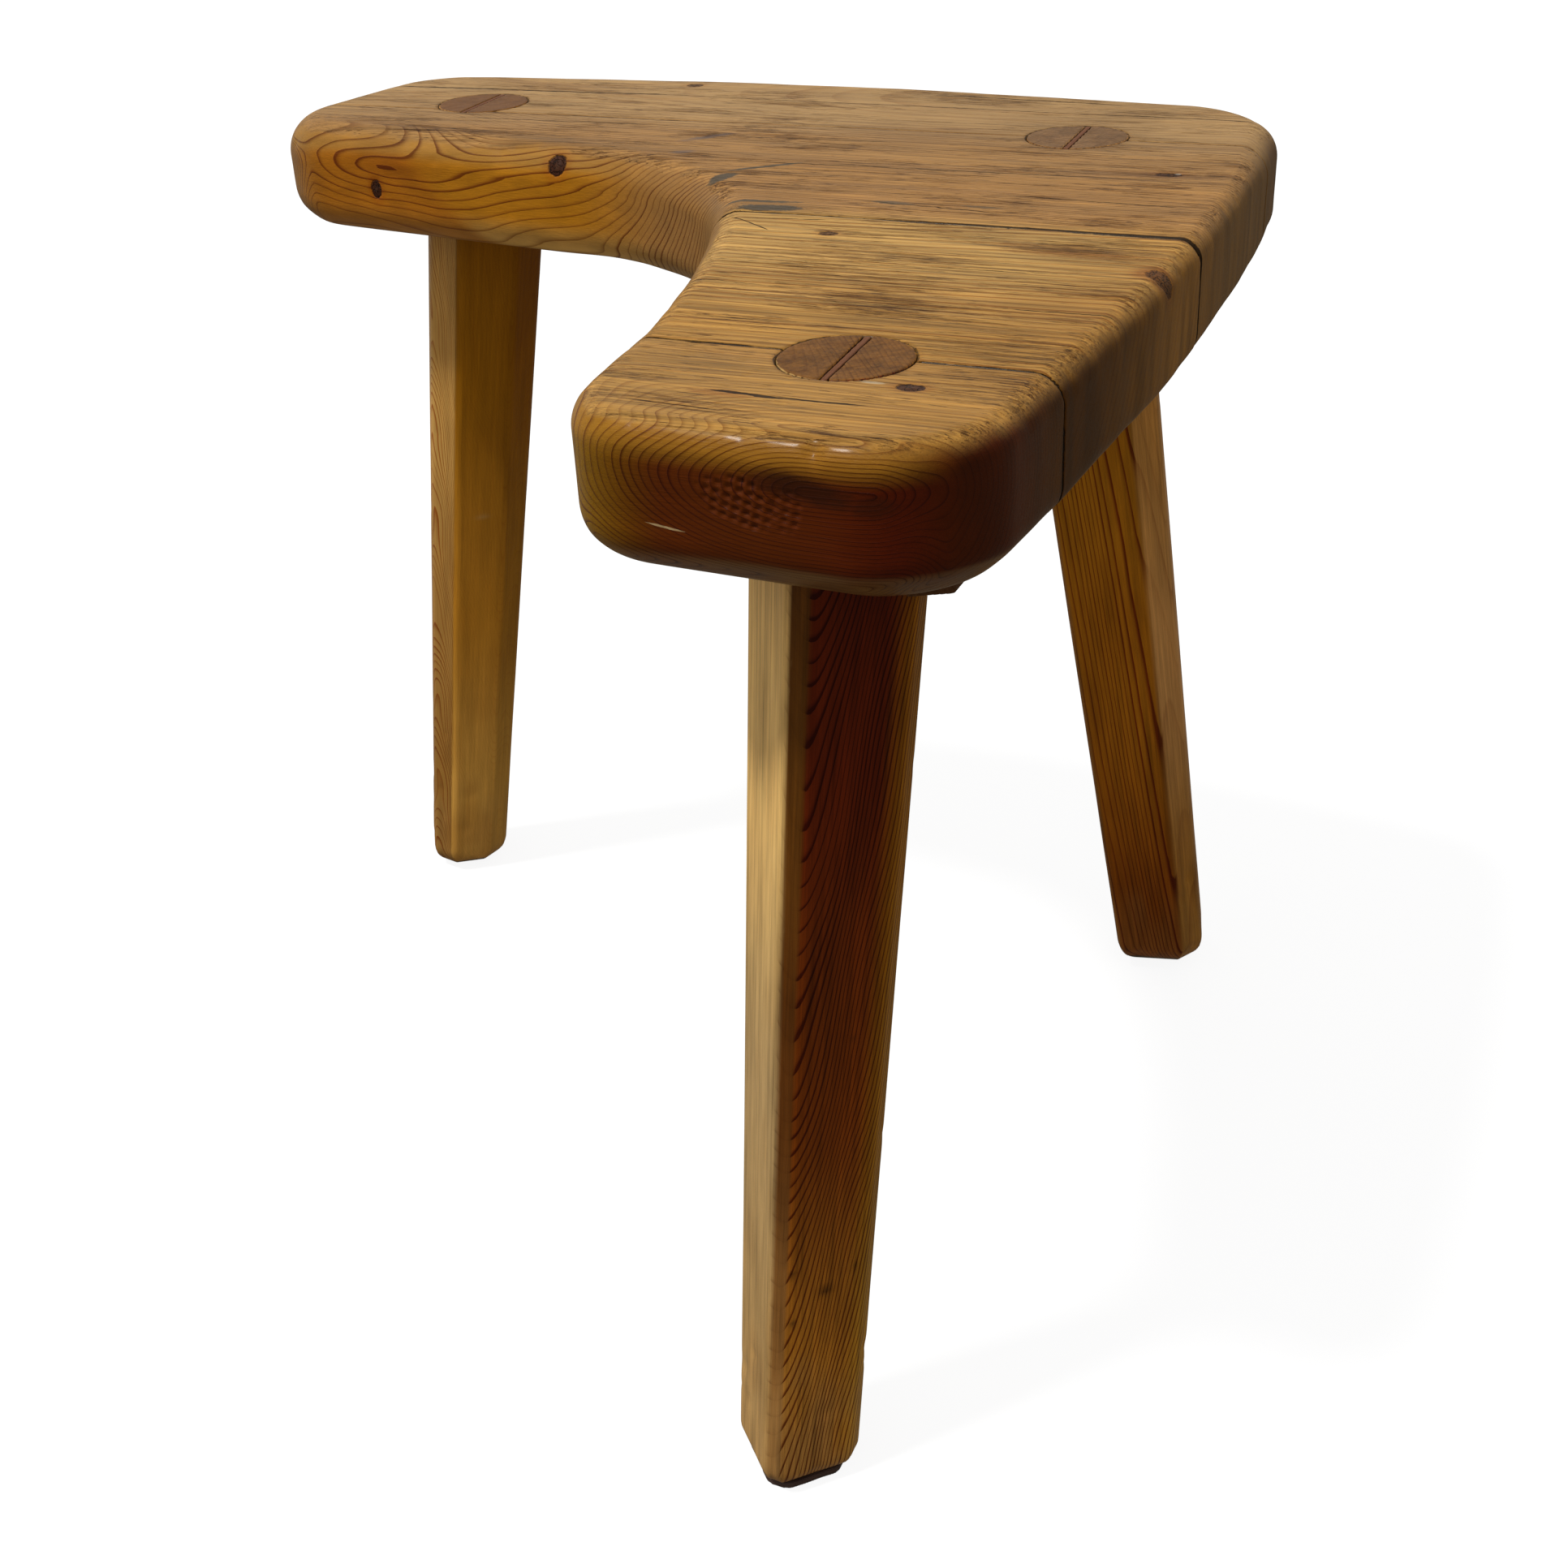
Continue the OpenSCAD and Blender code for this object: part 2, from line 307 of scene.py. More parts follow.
def make_mesh(name, v, faces, attrs):
    me = bpy.data.meshes.new(name)
    n, m, k = len(v), len(faces), faces.shape[1]
    me.vertices.add(n)
    me.loops.add(m * k)
    me.polygons.add(m)
    me.vertices.foreach_set("co", (v * MM).astype(np.float32).ravel())
    me.loops.foreach_set("vertex_index", faces.astype(np.int32).ravel())
    me.polygons.foreach_set("loop_start", np.arange(0, m * k, k, dtype=np.int32))
    me.polygons.foreach_set("loop_total", np.full(m, k, np.int32))
    me.polygons.foreach_set("use_smooth", np.ones(m, bool))
    me.update(calc_edges=True)
    for key, a in attrs.items():
        a = np.asarray(a, np.float32)
        if a.ndim == 1:
            at = me.attributes.new(key, "FLOAT", "POINT")
            at.data.foreach_set("value", a)
        else:
            at = me.attributes.new(key, "FLOAT_VECTOR", "POINT")
            at.data.foreach_set("vector", a.ravel())
    ob = bpy.data.objects.new(name, me)
    bpy.context.scene.collection.objects.link(ob)
    return ob


# ------------------------------------------------------------------ boards: shape
def board_field(y0, y1, upper_gap=None, legs=()):
    top = SEAT_H

    def f(p):
        d, rt, rl, ch = look((D2, RT, RL, CH), p[:, 0], p[:, 1])
        a = rmax(d, p[:, 2] - top, rt)
        b = rmax(d, LOW - p[:, 2], rl)
        b = rmax(b, (d + LOW - p[:, 2]) / 1.41421 - ch, 0.8)
        r = np.maximum(a, b)
        if y1 is not None:
            g = 0.06 if upper_gap is None else upper_gap(p)
            r = rmax(r, p[:, 1] - y1 + g, 0.45)
        if y0 is not None:
            r = rmax(r, y0 + 0.06 - p[:, 1], 0.45)
        for name in legs:
            r = rmax(r, TENON_R + 0.12 - axis_distance(LEGS[name], p)[0], 0.3)
        return r
    return f


def open_joint(p):
    """The middle glue joint has sprung open towards the right-hand end, where a splinter is missing."""
    x, z = p[:, 0], p[:, 2]
    wave = 0.16 * np.sin(x * 0.31) + 0.10 * np.sin(x * 0.83 + 1) + 0.08 * np.sin(x * 1.9)
    gap = 0.10 + sstep(95, 150, x) * 0.32 + sstep(150, 226, x) * (0.75 + wave * 0.7)
    chip = 1.7 * np.exp(-((x - 231.5) / 3.2) ** 2) * sstep(405, 413, z)
    return gap * (0.45 + 0.55 * sstep(385, 414, z)) + chip


RNG = np.random.RandomState(11)


def dents(p, n, spots):
    """Small round dents: (x, y, z, radius, depth)."""
    out = np.zeros(len(p))
    for x, y, z, r, d in spots:
        q = ((p - (x, y, z)) ** 2).sum(1)
        m = q < (3 * r) ** 2
        out[m] -= d * np.exp(-q[m] / (r * r))
    return out


# ------------------------------------------------------------------ boards: colour fields
AMBER, AMBER_LOW_PAINTED_LIGHT = lin(180, 118, 20), lin(248, 204, 122)
TAN, TAN2, GOLD, GOLD2 = lin(171, 135, 86), lin(159, 118, 66), lin(189, 148, 80), lin(164, 118, 51)
UNDER = lin(150, 108, 62)


def blob(p, c, r):
    return np.exp(-(((p - np.array(c)) / np.array(r)) ** 2).sum(1))


def board_tone_and_shade(name, p, n):
    x, y, z = p.T
    top, soft = worn_top(p, n)
    # worn top: greyer at the back, golden on the front arm
    t = mix(TAN, TAN2, sstep(150, 90, y + 10 * vnoise(p, (90, 14, 40), 21)))
    t = mix(t, GOLD, sstep(8, -14, y) * 0.85)
    t = mix(t, GOLD2, sstep(-60, -130, y + 16 * vnoise(p, (60, 18, 40), 22)) * 0.75)
    t = mix(t, GOLD2 * 0.92, sstep(170, 235, x) * sstep(10, -10, y) * 0.7)
    t = mix(t, t * np.array([0.82, 0.77, 0.70]), sstep(0.1, 0.75, vnoise(p, (70, 16, 40), 23)) * 0.55)
    t = mix(t, t * np.array([1.10, 1.10, 1.12]), sstep(0.2, 0.8, vnoise(p, (46, 10, 40), 24)) * 0.6)
    t = mix(t, t * np.array([0.90, 0.89, 0.88]), sstep(10, 70, x) * sstep(210, 150, x) * sstep(90, 130, y))
    # sides: amber in the hollow with painted light on its lower rounding, deep brown at the front tip that is partly
    # patina and partly painted shade, dull end grain at the right
    # painted light: the hollow's lower rounding, which faces down, is given a much paler amber
    side = mix(AMBER, AMBER_LOW_PAINTED_LIGHT, sstep(386, 366, z) * 0.85)
    side = mix(side, lin(168, 100, 16), sstep(-120, -136, x + 1.2 * (z - 391)) * 0.75)
    side = mix(side, lin(140, 107, 64), sstep(8, 40, x) * 0.95)
    side = mix(side, lin(140, 98, 40), sstep(-190, -222, x) * 0.95)
    side = mix(side, lin(158, 116, 52), sstep(0.15, 0.5, n[:, 2]) * sstep(40, -60, x) * 0.75)
    side = side * (1 + 0.10 * vnoise(p, (9, 9, 5), 31))[:, None]
    side = mix(side, side * np.array([0.80, 0.66, 0.45]), blob(p, (-150, 82, 402), (26, 30, 5.5)) * 0.8)
    side = mix(side, lin(140, 104, 62), sstep(-60, 5, x) * sstep(-20, 40, y) * sstep(120, 90, y) * 0.75)
    # painted shade: the front face of the tip is darkened to deep brown, deepest towards the right; only part of this
    # is patina
    front = mix(lin(142, 102, 0), lin(96, 40, 0), sstep(96, 135, x))
    front = mix(front, lin(80, 8, 0), sstep(160, 226, x))
    front = mix(front, lin(160, 110, 28), sstep(403, 410, z) * sstep(232, 205, x) * 0.8)
    side = mix(side, front, sstep(-180, -214, y) * sstep(90, 104, x))
    endg = np.maximum(sstep(0.25, 0.85, n[:, 0]), sstep(205, 232, x))
    ec = mix(lin(80, 46, 2), lin(148, 103, 40), sstep(-150, -20, y))
    ec = mix(ec, lin(127, 93, 47), sstep(-30, 60, y))
    ec = mix(ec, lin(110, 82, 56), sstep(120, 190, y))
    ec = mix(ec, lin(80, 26, 0), sstep(-150, -205, y) * 0.9)
    ec = ec * (1 + 0.30 * vnoise(p, (30, 5, 26), 28))[:, None]
    side = mix(side, ec, endg)
    back = sstep(0.3, 0.8, n[:, 1]) * (1 - 0.85 * sstep(190, 228, x))
    side = mix(side, lin(168, 118, 58), back * 0.85)
    c = mix(side, t, top)
    under = sstep(-0.72, -0.97, n[:, 2])
    c = mix(c, UNDER, under)
    # the lower rounding is rubbed pale on the outer right and front edges
    low = sstep(-0.25, -0.6, n[:, 2]) * sstep(-0.97, -0.8, n[:, 2])
    c = mix(c, lin(140, 106, 60), low * (0.60 + 0.35 * vnoise(p, (16, 16, 4), 29)) * sstep(105, 165, x))
    # handling: darker in broad random patches
    c = c * (1 - 0.10 * sstep(0.2, 0.9, vnoise(p, (40, 22, 22), 25)))[:, None]
    return c


def ring_back(p):
    x, y, z = p.T
    py, pz = 196 + 0.05 * x, 322 + 0.03 * x + 5 * np.sin(x / 61)
    return np.hypot(y - py, z - pz) / 2.5


def soft_min(a, b, k):
    """Smooth minimum of a field and a constant."""
    h = np.clip(0.5 + 0.5 * (b - a) / k, 0, 1)
    return b + (a - b) * h - k * h * (1 - h)


def ring_mid_back(p):
    """Lines dip round a loop at the tip end of the hollow's wall, then climb and crowd together at its inner corner."""
    x, y, z = p.T
    wall = 91.5 - 31 * (soft_min(x, -132.0, 24.0) + 237) / 252
    # the lower rounding must not turn the lines back, so its inset is taken out of y
    q = np.clip((LOW + 12 - z) / 12, 0, 1)
    y = y - 12 * (1 - np.sqrt(np.maximum(0, 1 - q * q)))
    y = y - 0.9 * np.clip(y - wall, 0, 14) * sstep(398, 408, z) * sstep(-60, -190, x)
    near = np.exp(-np.maximum(0, y - wall) / 12.0)
    u = np.maximum(0, -160 - x) / 9.5 * near
    d = 401.0 + 0.8 * np.sin(x / 17) - z
    below = 3.1 + 1.5 * sstep(-165, -95, x) - 0.3 * sstep(-60, 10, x)
    v = np.maximum(0, d) / below
    right = sstep(-168, -92, x)
    over = np.maximum(0, -d) / 2.6 * (1 - 0.9 * right)
    above = -np.minimum(np.maximum(0, -d), 9) * 0.20 * right
    wob = 0.08 * np.sin(x / 9.0 + z / 7) + 0.06 * np.sin(x / 4.6 + 1.3) * sstep(-100, -160, x) + 0.12 * np.sin(x / 31)
    return np.sqrt(u * u + v * v + over * over + 0.15) + above + wob + ((wall - 74) * near + 74 - y) / 2.35


def ring_mid_front(p):
    x, y, z = p.T
    py, pz = -200 + 0.05 * x, 450 - 0.02 * x
    r = np.hypot(y - py, z - pz) / 4.3
    return r + 0.35 * np.sin(x / 52 + y / 40) + 0.10 * np.sin(x / 19 + 2)


def ring_front(p):
    x, y, z = p.T
    face = sstep(-213, -223, y)
    u = np.maximum(0, 178 - x) / 1.45 * sstep(-150, -223, y)
    e = (z - 402) * (0.95 + 0.75 * face)
    wob = 0.25 * np.sin(x / 23) + 0.12 * np.sin(x / 7 + z / 5) + 0.10 * np.sin(z / 2.7 + x / 11)
    return np.sqrt(u * u + e * e + ((y + 231) * (1 - 0.5 * face)) ** 2 + np.maximum(0, x - 196) ** 2 * 1.2 * face) / 2.05 + wob


# knots: centre, radius across, direction of the branch (they cross the surface there)
KNOTS = {
    "seat_board_mid_back": [((-62.0, 72, 408.0), (4.7, 9, 4.9), "y", 1.0), ((-164.0, 83, 390.5), (3.0, 14, 4.2), "y", 1.0),
                            ((200.0, 80.0, 416), (5.5, 2.6, 12), "z", 0.75), ((7.4, 60, 396), (1.0, 9, 2.4), "y", 0.7)],
    "seat_board_mid_front": [((104.4, -29.9, 416), (3.6, 2.6, 12), "z", 0.8), ((229.3, -50.8, 413), (5.6, 5.2, 14), "z", 0.65)],
    "seat_board_front": [((189.7, -177.5, 416), (4.2, 2.9, 12), "z", 0.95)],
    "seat_board_back": [((-60, 205, 416), (4.0, 3.4, 14), "z", 0.7), ((90, 222, 398), (5.0, 30, 5.0), "y", 0.9)],
}


def knot_fields(name, p, ring):
    """Distance to the nearest knot in knot radii, and the ring field bent round the knots."""
    k = np.full(len(p), 9.0)
    dark = np.zeros(len(p))
    for c, r, ax, s in KNOTS.get(name, []):
        q = (p - np.array(c)) / np.array(r)
        a = "xyz".index(ax)
        o = [i for i in range(3) if i != a]
        rr = np.hypot(q[:, o[0]], q[:, o[1]])
        near = np.exp(-q[:, a] ** 2)
        d = rr + (1 - near) * 3
        m = d < k
        dark[m] = s
        k = np.minimum(k, d)
        # rings swerve round the branch
        ring = ring + near * (0.4 if ax == "y" else 1.0) * np.exp(-(rr / 1.9) ** 2) * np.tanh(q[:, o[1]] * 2)
    return k, dark, ring


def outer_field(p):
    d, rt, rl, ch = look((D2, RT, RL, CH), p[:, 0], p[:, 1])
    b = rmax(rmax(d, LOW - p[:, 2], rl), (d + LOW - p[:, 2]) / 1.41421 - ch, 0.8)
    return np.maximum(rmax(d, p[:, 2] - SEAT_H, rt), b)


def worn_top(p, n):
    """1 on the bare, worn top and 0 on the varnished sides; the border is ragged, and soft on the outer right edge."""
    worn = n[:, 2] + 0.10 * vnoise(p, (16, 8, 8), 26) + 0.05 * vnoise(p, (4, 2.5, 2.5), 27)
    soft = sstep(150, 215, p[:, 0]) * 0.8
    return sstep(0.70, 0.88, worn) * (1 - soft) + sstep(0.35, 0.92, worn) * soft, soft


def build_board(name, y0, y1, ring_fn, h, upper_gap=None, legs=(), seed=0):
    f = board_field(y0, y1, upper_gap, legs)
    sel = (OUT[:, 1] > (y0 if y0 is not None else -999) - 4) & (OUT[:, 1] < (y1 if y1 is not None else 999) + 4)
    X0, X1 = OUT[sel, 0].min() - 3, OUT[sel, 0].max() + 3
    X0 = max(X0, -238)
    Y0 = (y0 if y0 is not None else OUT[:, 1].min()) - 2.5
    Y1 = (y1 if y1 is not None else OUT[:, 1].max()) + 2.5
    xs = np.arange(X0, X1 + h, h)
    ys = np.arange(Y0, Y1 + h, h)
    zs = np.arange(LOW - 2.1, SEAT_H + 2.5, h)
    if name == "seat_board_front":
        xs = np.concatenate([np.arange(X0, 142, 1.05), np.arange(142, 184, 0.46), np.arange(184.5, X1 + 1, 1.05)])
        zs = np.concatenate([np.arange(LOW - 2.1, 385, 1.05), np.arange(385, 407, 0.46), np.arange(407.6, SEAT_H + 2.5, 0.95)])
        ys = np.arange(Y0, Y1 + 1, 1.0)
    v, q = nets(grid_eval(f, xs, ys, zs), xs, ys, zs)
    v, n = settle(f, v, min(h, 0.8))
    # only the outside of the seat is worked by hand; joint faces and bores stay true
    w = sstep(-1.2, -0.1, outer_field(v))
    no = gradient(outer_field, v, 0.5)
    no /= np.maximum(np.linalg.norm(no, axis=1, keepdims=True), 1e-6)
    ring = ring_fn(v)
    kd, kdark, ring = knot_fields(name, v, ring)
    up = sstep(0.4, 0.9, n[:, 2])
    relief = -0.10 - 0.10 * vnoise(v, (60, 26, 30), 30 + seed) - 0.05 * vnoise(v, (14, 9, 9), 31 + seed)
    relief -= 0.05 * sstep(0.3, 0.9, vnoise(v, (30, 3.2, 3.2), 33 + seed)) * up
    relief -= 0.35 * sstep(1.25, 0.75, kd) * sstep(0.25, 0.7, kd) * kdark        # shrunken ring round each knot
    # the odd dent along the edges
    rng = np.random.RandomState(100 + seed)
    edge = np.nonzero((n[:, 2] > 0.25) & (n[:, 2] < 0.9) & (w > 0.9))[0]
    flat = np.nonzero((n[:, 2] > 0.97) & (w > 0.9))[0]
    spots = [(*v[i], rng.uniform(1.2, 3.0), rng.uniform(0.15, 0.45)) for i in rng.choice(edge, 16)]
    spots += [(*v[i], rng.uniform(1.0, 2.4), rng.uniform(0.08, 0.25)) for i in rng.choice(flat, 12)]
    relief += dents(v, n, spots)
    if name == "seat_board_front":
        relief += hammer_marks(v, n)
    v = v + n * (relief * w)[:, None]
    worn, soft = worn_top(v, no)
    lm = 1 - sstep(0.25, 0.85, no[:, 0]) * 0.6
    attrs = dict(ring=ring, gco=v, tone=board_tone_and_shade(name, v, no), knot=kd, kdark=kdark, nrm=n,
                 body=w, top=worn * w, lmul=lm)
    return make_mesh(name + "_worn", v, q, attrs)


def hammer_marks(p, n):
    """Two blows from a checkered hammer face on the front of the tip."""
    x, z = p[:, 0], p[:, 2]
    a = math.radians(-14)
    face = sstep(0.75, 0.95, -n[:, 1])
    out = np.zeros(len(p))
    for cx, cz, rx, rz, dep in ((157.0, 397.0, 11.5, 8.0, 0.78), (171.5, 395.5, 4.8, 6.2, 0.50)):
        u = (x - cx) * math.cos(a) + (z - cz) * math.sin(a)
        w = -(x - cx) * math.sin(a) + (z - cz) * math.cos(a)
        pit = np.maximum(0, np.cos(u * 2 * math.pi / 3.3) * 0.5 + 0.5) * np.maximum(0, np.cos(w * 2 * math.pi / 2.9) * 0.5 + 0.5)
        m = sstep(1.15, 0.75, np.hypot(u / rx, w / rz) + 0.15 * vnoise(p, 5, 77))
        out -= dep * pit ** 0.8 * m * (0.85 + 0.3 * vnoise(p, 3.1, 78))
    return out * face


# ------------------------------------------------------------------ legs: shape and colour
def leg_field(g):
    """Signed distance in the leg's own coordinates: across the main face, out of it, and row z."""
    w = g["w"] / 2
    cf, sf = math.cos(math.radians(g["face"])), math.sin(math.radians(g["face"]))
    planes = []
    for k in range(4):
        a = math.radians(90 * k)
        planes.append((math.cos(a), math.sin(a), w, 0))
        c = g["ch"][k]
        b = a + math.pi / 4
        planes.append((math.cos(b), math.sin(b), (2 * w - c) / math.sqrt(2), 1))

    def local(p):
        m = leg_mid(g, p[:, 2])
        dx, dy = p[:, 0] - m[:, 0], p[:, 1] - m[:, 1]
        return dx * cf + dy * sf, -dx * sf + dy * cf      # out of the main face, to its left seen from outside

    def f(p):
        a, b = local(p)
        z = p[:, 2]
        s = leg_scale(g, z)
        r = None
        for cx, cy, d, _ in planes:
            e = a * cx + b * cy - d * s
            r = e if r is None else rmax(r, e, 2.0)
        r = r + 0.15
        body = rmax(r, g["z0"] - z, g["foot_r"])
        body = rmax(body, z - LOW, 0.6)
        R, wv = axis_distance(g, p)
        ten = rmax(R - TENON_R, z - SEAT_H, 0.35)
        ten = np.maximum(ten, LOW - 3 - z)
        r = np.minimum(body, ten)
        # saw kerf that the wedge sits in
        x, y, h = wedge_coords(g, wv)
        half = 0.4 + (1.4 - 0.4) * np.clip((h + 34) / 39, 0, 1) + 0.12
        kerf = np.maximum(np.abs(x) - half, -34.5 - h)
        return np.maximum(r, -kerf)
    return f, local


# painted light and shade: lit faces are given lighter colours and shaded faces darker ones, and the change with height
# paints light and shade around the seat's shadow
LEG_TONE_AND_SHADE = {   # colours of each face at 300, 170 and 50 mm above the floor
    "leg_left": dict(main=(lin(165, 108, 14), lin(199, 136, 40), lin(228, 172, 80)), left=(lin(212, 164, 88), lin(172, 126, 60), lin(152, 108, 46)),
                     right=(lin(159, 101, 11), lin(176, 122, 32), lin(202, 152, 66)), back=(lin(150, 102, 40), lin(160, 112, 50), lin(170, 122, 58))),
    "leg_corner": dict(main=(lin(186, 122, 24), lin(179, 111, 19), lin(131, 68, 6)), left=(lin(160, 108, 40), lin(156, 104, 40), lin(130, 80, 24)),
                       right=(lin(200, 143, 72), lin(196, 143, 82), lin(161, 110, 42)), back=(lin(150, 102, 50), lin(150, 102, 50), lin(140, 92, 40))),
    "leg_front": dict(corner=(lin(98, 58, 14), lin(98, 55, 16), lin(150, 106, 54)), main=(lin(98, 32, 6), lin(124, 58, 8), lin(184, 121, 36)), left=(lin(240, 196, 120), lin(182, 149, 98), lin(187, 149, 92)),
                      right=(lin(186, 126, 14), lin(190, 136, 24), lin(204, 156, 44)), back=(lin(146, 98, 46), lin(146, 98, 46), lin(150, 104, 50))),
}


def leg_rings(name, a, b, z):
    if name == "leg_left":
        return (a - 12) ** 2 / 14 + z / 9.5 + 0.9 * np.sin(z / 21 + 1.2 * np.sin(z / 47)) + 0.7 * np.sin(z / 8.3 + a / 5) + 0.5 * np.sin(z / 13.7 - a / 4) + np.maximum(0, b + 12) / 1.5
    if name == "leg_corner":
        c = b + 0.045 * z + 1.2 * np.sin(z / 58)
        return c / 2.8 + 1.2 * np.sin(c / 5.5) + a / 3.5
    return np.hypot(b + 16, 5) / 1.55 + a / 9.0 - z / 9.0 + 0.7 * np.sin(z / 41) + 0.5 * np.sin(z / 15.7) + 0.35 * np.sin(b / 2.9)


def build_leg(name):
    g = LEGS[name]
    f3, local = leg_field(g)
    cf, sf = math.cos(math.radians(g["face"])), math.sin(math.radians(g["face"]))

    def to_row(q):
        m = leg_mid(g, q[:, 2])
        return np.stack([m[:, 0] + q[:, 0] * cf - q[:, 1] * sf, m[:, 1] + q[:, 0] * sf + q[:, 1] * cf, q[:, 2]], 1)

    fl = lambda q: f3(to_row(q))
    H = g["w"] / 2 + 2
    h = 1.1
    xs = np.arange(-H, H + h, h)
    zs = np.concatenate([np.arange(g["z0"] - 1.2, 9, 0.9), np.arange(9.5, 358, 2.0), np.arange(358, 374, 1.0),
                         np.arange(374.5, 409, 2.5), np.arange(409.5, 418, 0.9)])
    v, q = nets(grid_eval(fl, xs, xs, zs), xs, xs, zs)
    v = to_row(v)
    v, n = settle(f3, v, h)
    a, b = local(v)
    z = v[:, 2]
    na, nb = n[:, 0] * cf + n[:, 1] * sf, -n[:, 0] * sf + n[:, 1] * cf
    body = sstep(LOW + 0.2, LOW - 1.5, z)
    lv = np.stack([a, b, z], 1)
    seed = {"leg_left": 1, "leg_corner": 2, "leg_front": 3}[name]
    relief = -0.10 - 0.16 * vnoise(lv, (60, 60, 95), 40 + seed) - 0.07 * vnoise(lv, (12, 12, 38), 41 + seed)
    rng = np.random.RandomState(200 + seed)
    low = np.nonzero((z < 60) & (np.abs(n[:, 2]) < 0.8))[0]
    anyw = np.nonzero((z > 30) & (z < 350) & (np.abs(na * nb) > 0.15))[0]
    spots = [(*v[i], rng.uniform(1.5, 4.0), rng.uniform(0.2, 0.7)) for i in rng.choice(low, 18)]
    spots += [(*v[i], rng.uniform(1.2, 3.0), rng.uniform(0.15, 0.4)) for i in rng.choice(anyw, 16)]
    relief += dents(v, n, spots)
    flat = sstep(-0.9, -0.6, n[:, 2])                   # the sole stays flat
    v = v + n * (relief * body * flat)[:, None]
    v[:, 2] = np.maximum(v[:, 2], g["z0"])
    ring = leg_rings(name, a, b, z)
    T = LEG_TONE_AND_SHADE[name]
    # seen from outside the main face, "left" is towards -b
    wm, wb = sstep({"leg_left": 0.72, "leg_corner": 0.76, "leg_front": 0.3}[name], 0.9, na), sstep(0.3, 0.9, -na)
    wl, wr = sstep(*{"leg_front": (0.76, 0.9), "leg_left": (0.5, 0.7), "leg_corner": (0.3, 0.9)}[name], -nb), sstep(0.3, 0.62 if name == "leg_corner" else 0.9, nb)
    # painted light: the right part of the front leg's main face takes the lighter right-face colour
    if name == "leg_front":
        edge = sstep(0.30, 0.95, b / (g["w"] / 2 * leg_scale(g, z))) * wm * 0.85
        wr, wm = np.maximum(wr, edge), wm * (1 - edge)
    wc = np.zeros(len(na))
    if name == "leg_front":
        wc = sstep(0.40, 0.60, -nb) * (1 - sstep(0.78, 0.9, -nb)) * sstep(0.1, 0.4, na)
        wm = wm * (1 - wc)
    s = wm + wb + wl + wr + wc + 1e-6
    # each face gets its own painted lit or shaded colour, blended by height
    down = lambda k: mix(mix(T[k][1], T[k][0], sstep(170, 300, z)), T[k][2], sstep(170, 40, z))
    tone = (wm[:, None] * down("main") + wb[:, None] * down("back") + wl[:, None] * down("left") + wr[:, None] * down("right") + wc[:, None] * down("corner" if "corner" in T else "left")) / s[:, None]
    tone = mix(tone, tone * np.array([0.80, 0.74, 0.66]), sstep(0.1, 0.8, vnoise(lv, (26, 26, 70), 50 + seed)) * 0.5)
    tone = mix(tone, tone * np.array([0.72, 0.64, 0.56]), sstep(0.0, 0.8, vnoise(lv, (8, 8, 26), 54 + seed)) * (0.25 + 0.35 * sstep(120, 20, z)))
    tone = mix(tone, lin(176, 134, 78), sstep(60, 10, z + 26 * vnoise(lv, (9, 9, 20), 51 + seed)) * {"leg_left": 0.25, "leg_corner": 0.15, "leg_front": 0.5}[name])
    tone = mix(tone, tone * np.array([0.50, 0.42, 0.36]), sstep(9, 1, z + 5 * vnoise(lv, (6, 6, 6), 52 + seed)) * 0.6)
    # darker along the edge where the main face meets the left face
    tone = tone * (1 - {"leg_left": 1.5, "leg_corner": 0.8, "leg_front": 1.0}[name] * np.minimum(wm * wl, 0.25) * (0.8 + 0.6 * vnoise(lv, (40, 40, 9), 53 + seed)))[:, None]
    if name == "leg_left":
        # a faint painted shadow patch with a diagonal edge, and a scuff on the broad face
        patch = sstep(-6, 6, b + 0.42 * (z - 250) + 4 * vnoise(lv, (30, 30, 30), 55)) * sstep(290, 250, z) * wm
        tone = tone * (1 - 0.16 * patch * sstep(60, 160, z))[:, None]
        tone = mix(tone, lin(200, 160, 100), np.exp(-((z - 217) / 1.0) ** 2 - ((b - 1) / 3.0) ** 2) * wm * 0.6)
    if name == "leg_corner":
        # one broad dark line beside the right-hand edge of the main face
        hw = g["w"] / 2 * leg_scale(g, z)
        tone = tone * (1 - 0.5 * np.exp(-((b - hw * 0.58 - 0.8 * np.sin(z / 27)) / 2.0) ** 2) * wm)[:, None]
    if name == "leg_front":
        for bz, bb, rz, rb, k in ((93, -1, 2.2, 2.6, 0.75), (104, -14, 1.6, 1.4, 0.7), (82, -13, 1.8, 1.2, 0.75), (100, 10, 2.0, 1.0, 0.5), (196, 4, 1.2, 0.8, 0.5)):
            m = np.exp(-((z - bz) / rz) ** 2 - ((b - bb) / rb) ** 2)
            tone = mix(tone, lin(38, 22, 10), m * k)
    endg = sstep(0.7, 0.95, n[:, 2]) * sstep(LOW + 2, LOW + 20, z)
    tone = mix(tone, {"leg_left": lin(118, 82, 50), "leg_corner": lin(124, 93, 60), "leg_front": lin(116, 76, 31)}[name], endg)
    tone = mix(tone, lin(120, 88, 54), sstep(-0.8, -0.95, n[:, 2]))
    gco = np.stack([z, a, b], 1)
    lmul = {"leg_left": 0.12 * wm + 1.0 * wl + 0.1 * wr + 0.3 * wb, "leg_corner": (0.62 + 0.5 * sstep(-14, 14, b)) * wm + 0.6 * wl + 0.16 * wr + 0.6 * wb,
            "leg_front": 1.25 * wm + 0.8 * wr * (1 - 0.95 * sstep(0.8, 0.95, nb)) + 0.6 * wb + 0.06 * wc}[name] / s
    lmul = lmul * (1 - endg) + 0.25 * endg
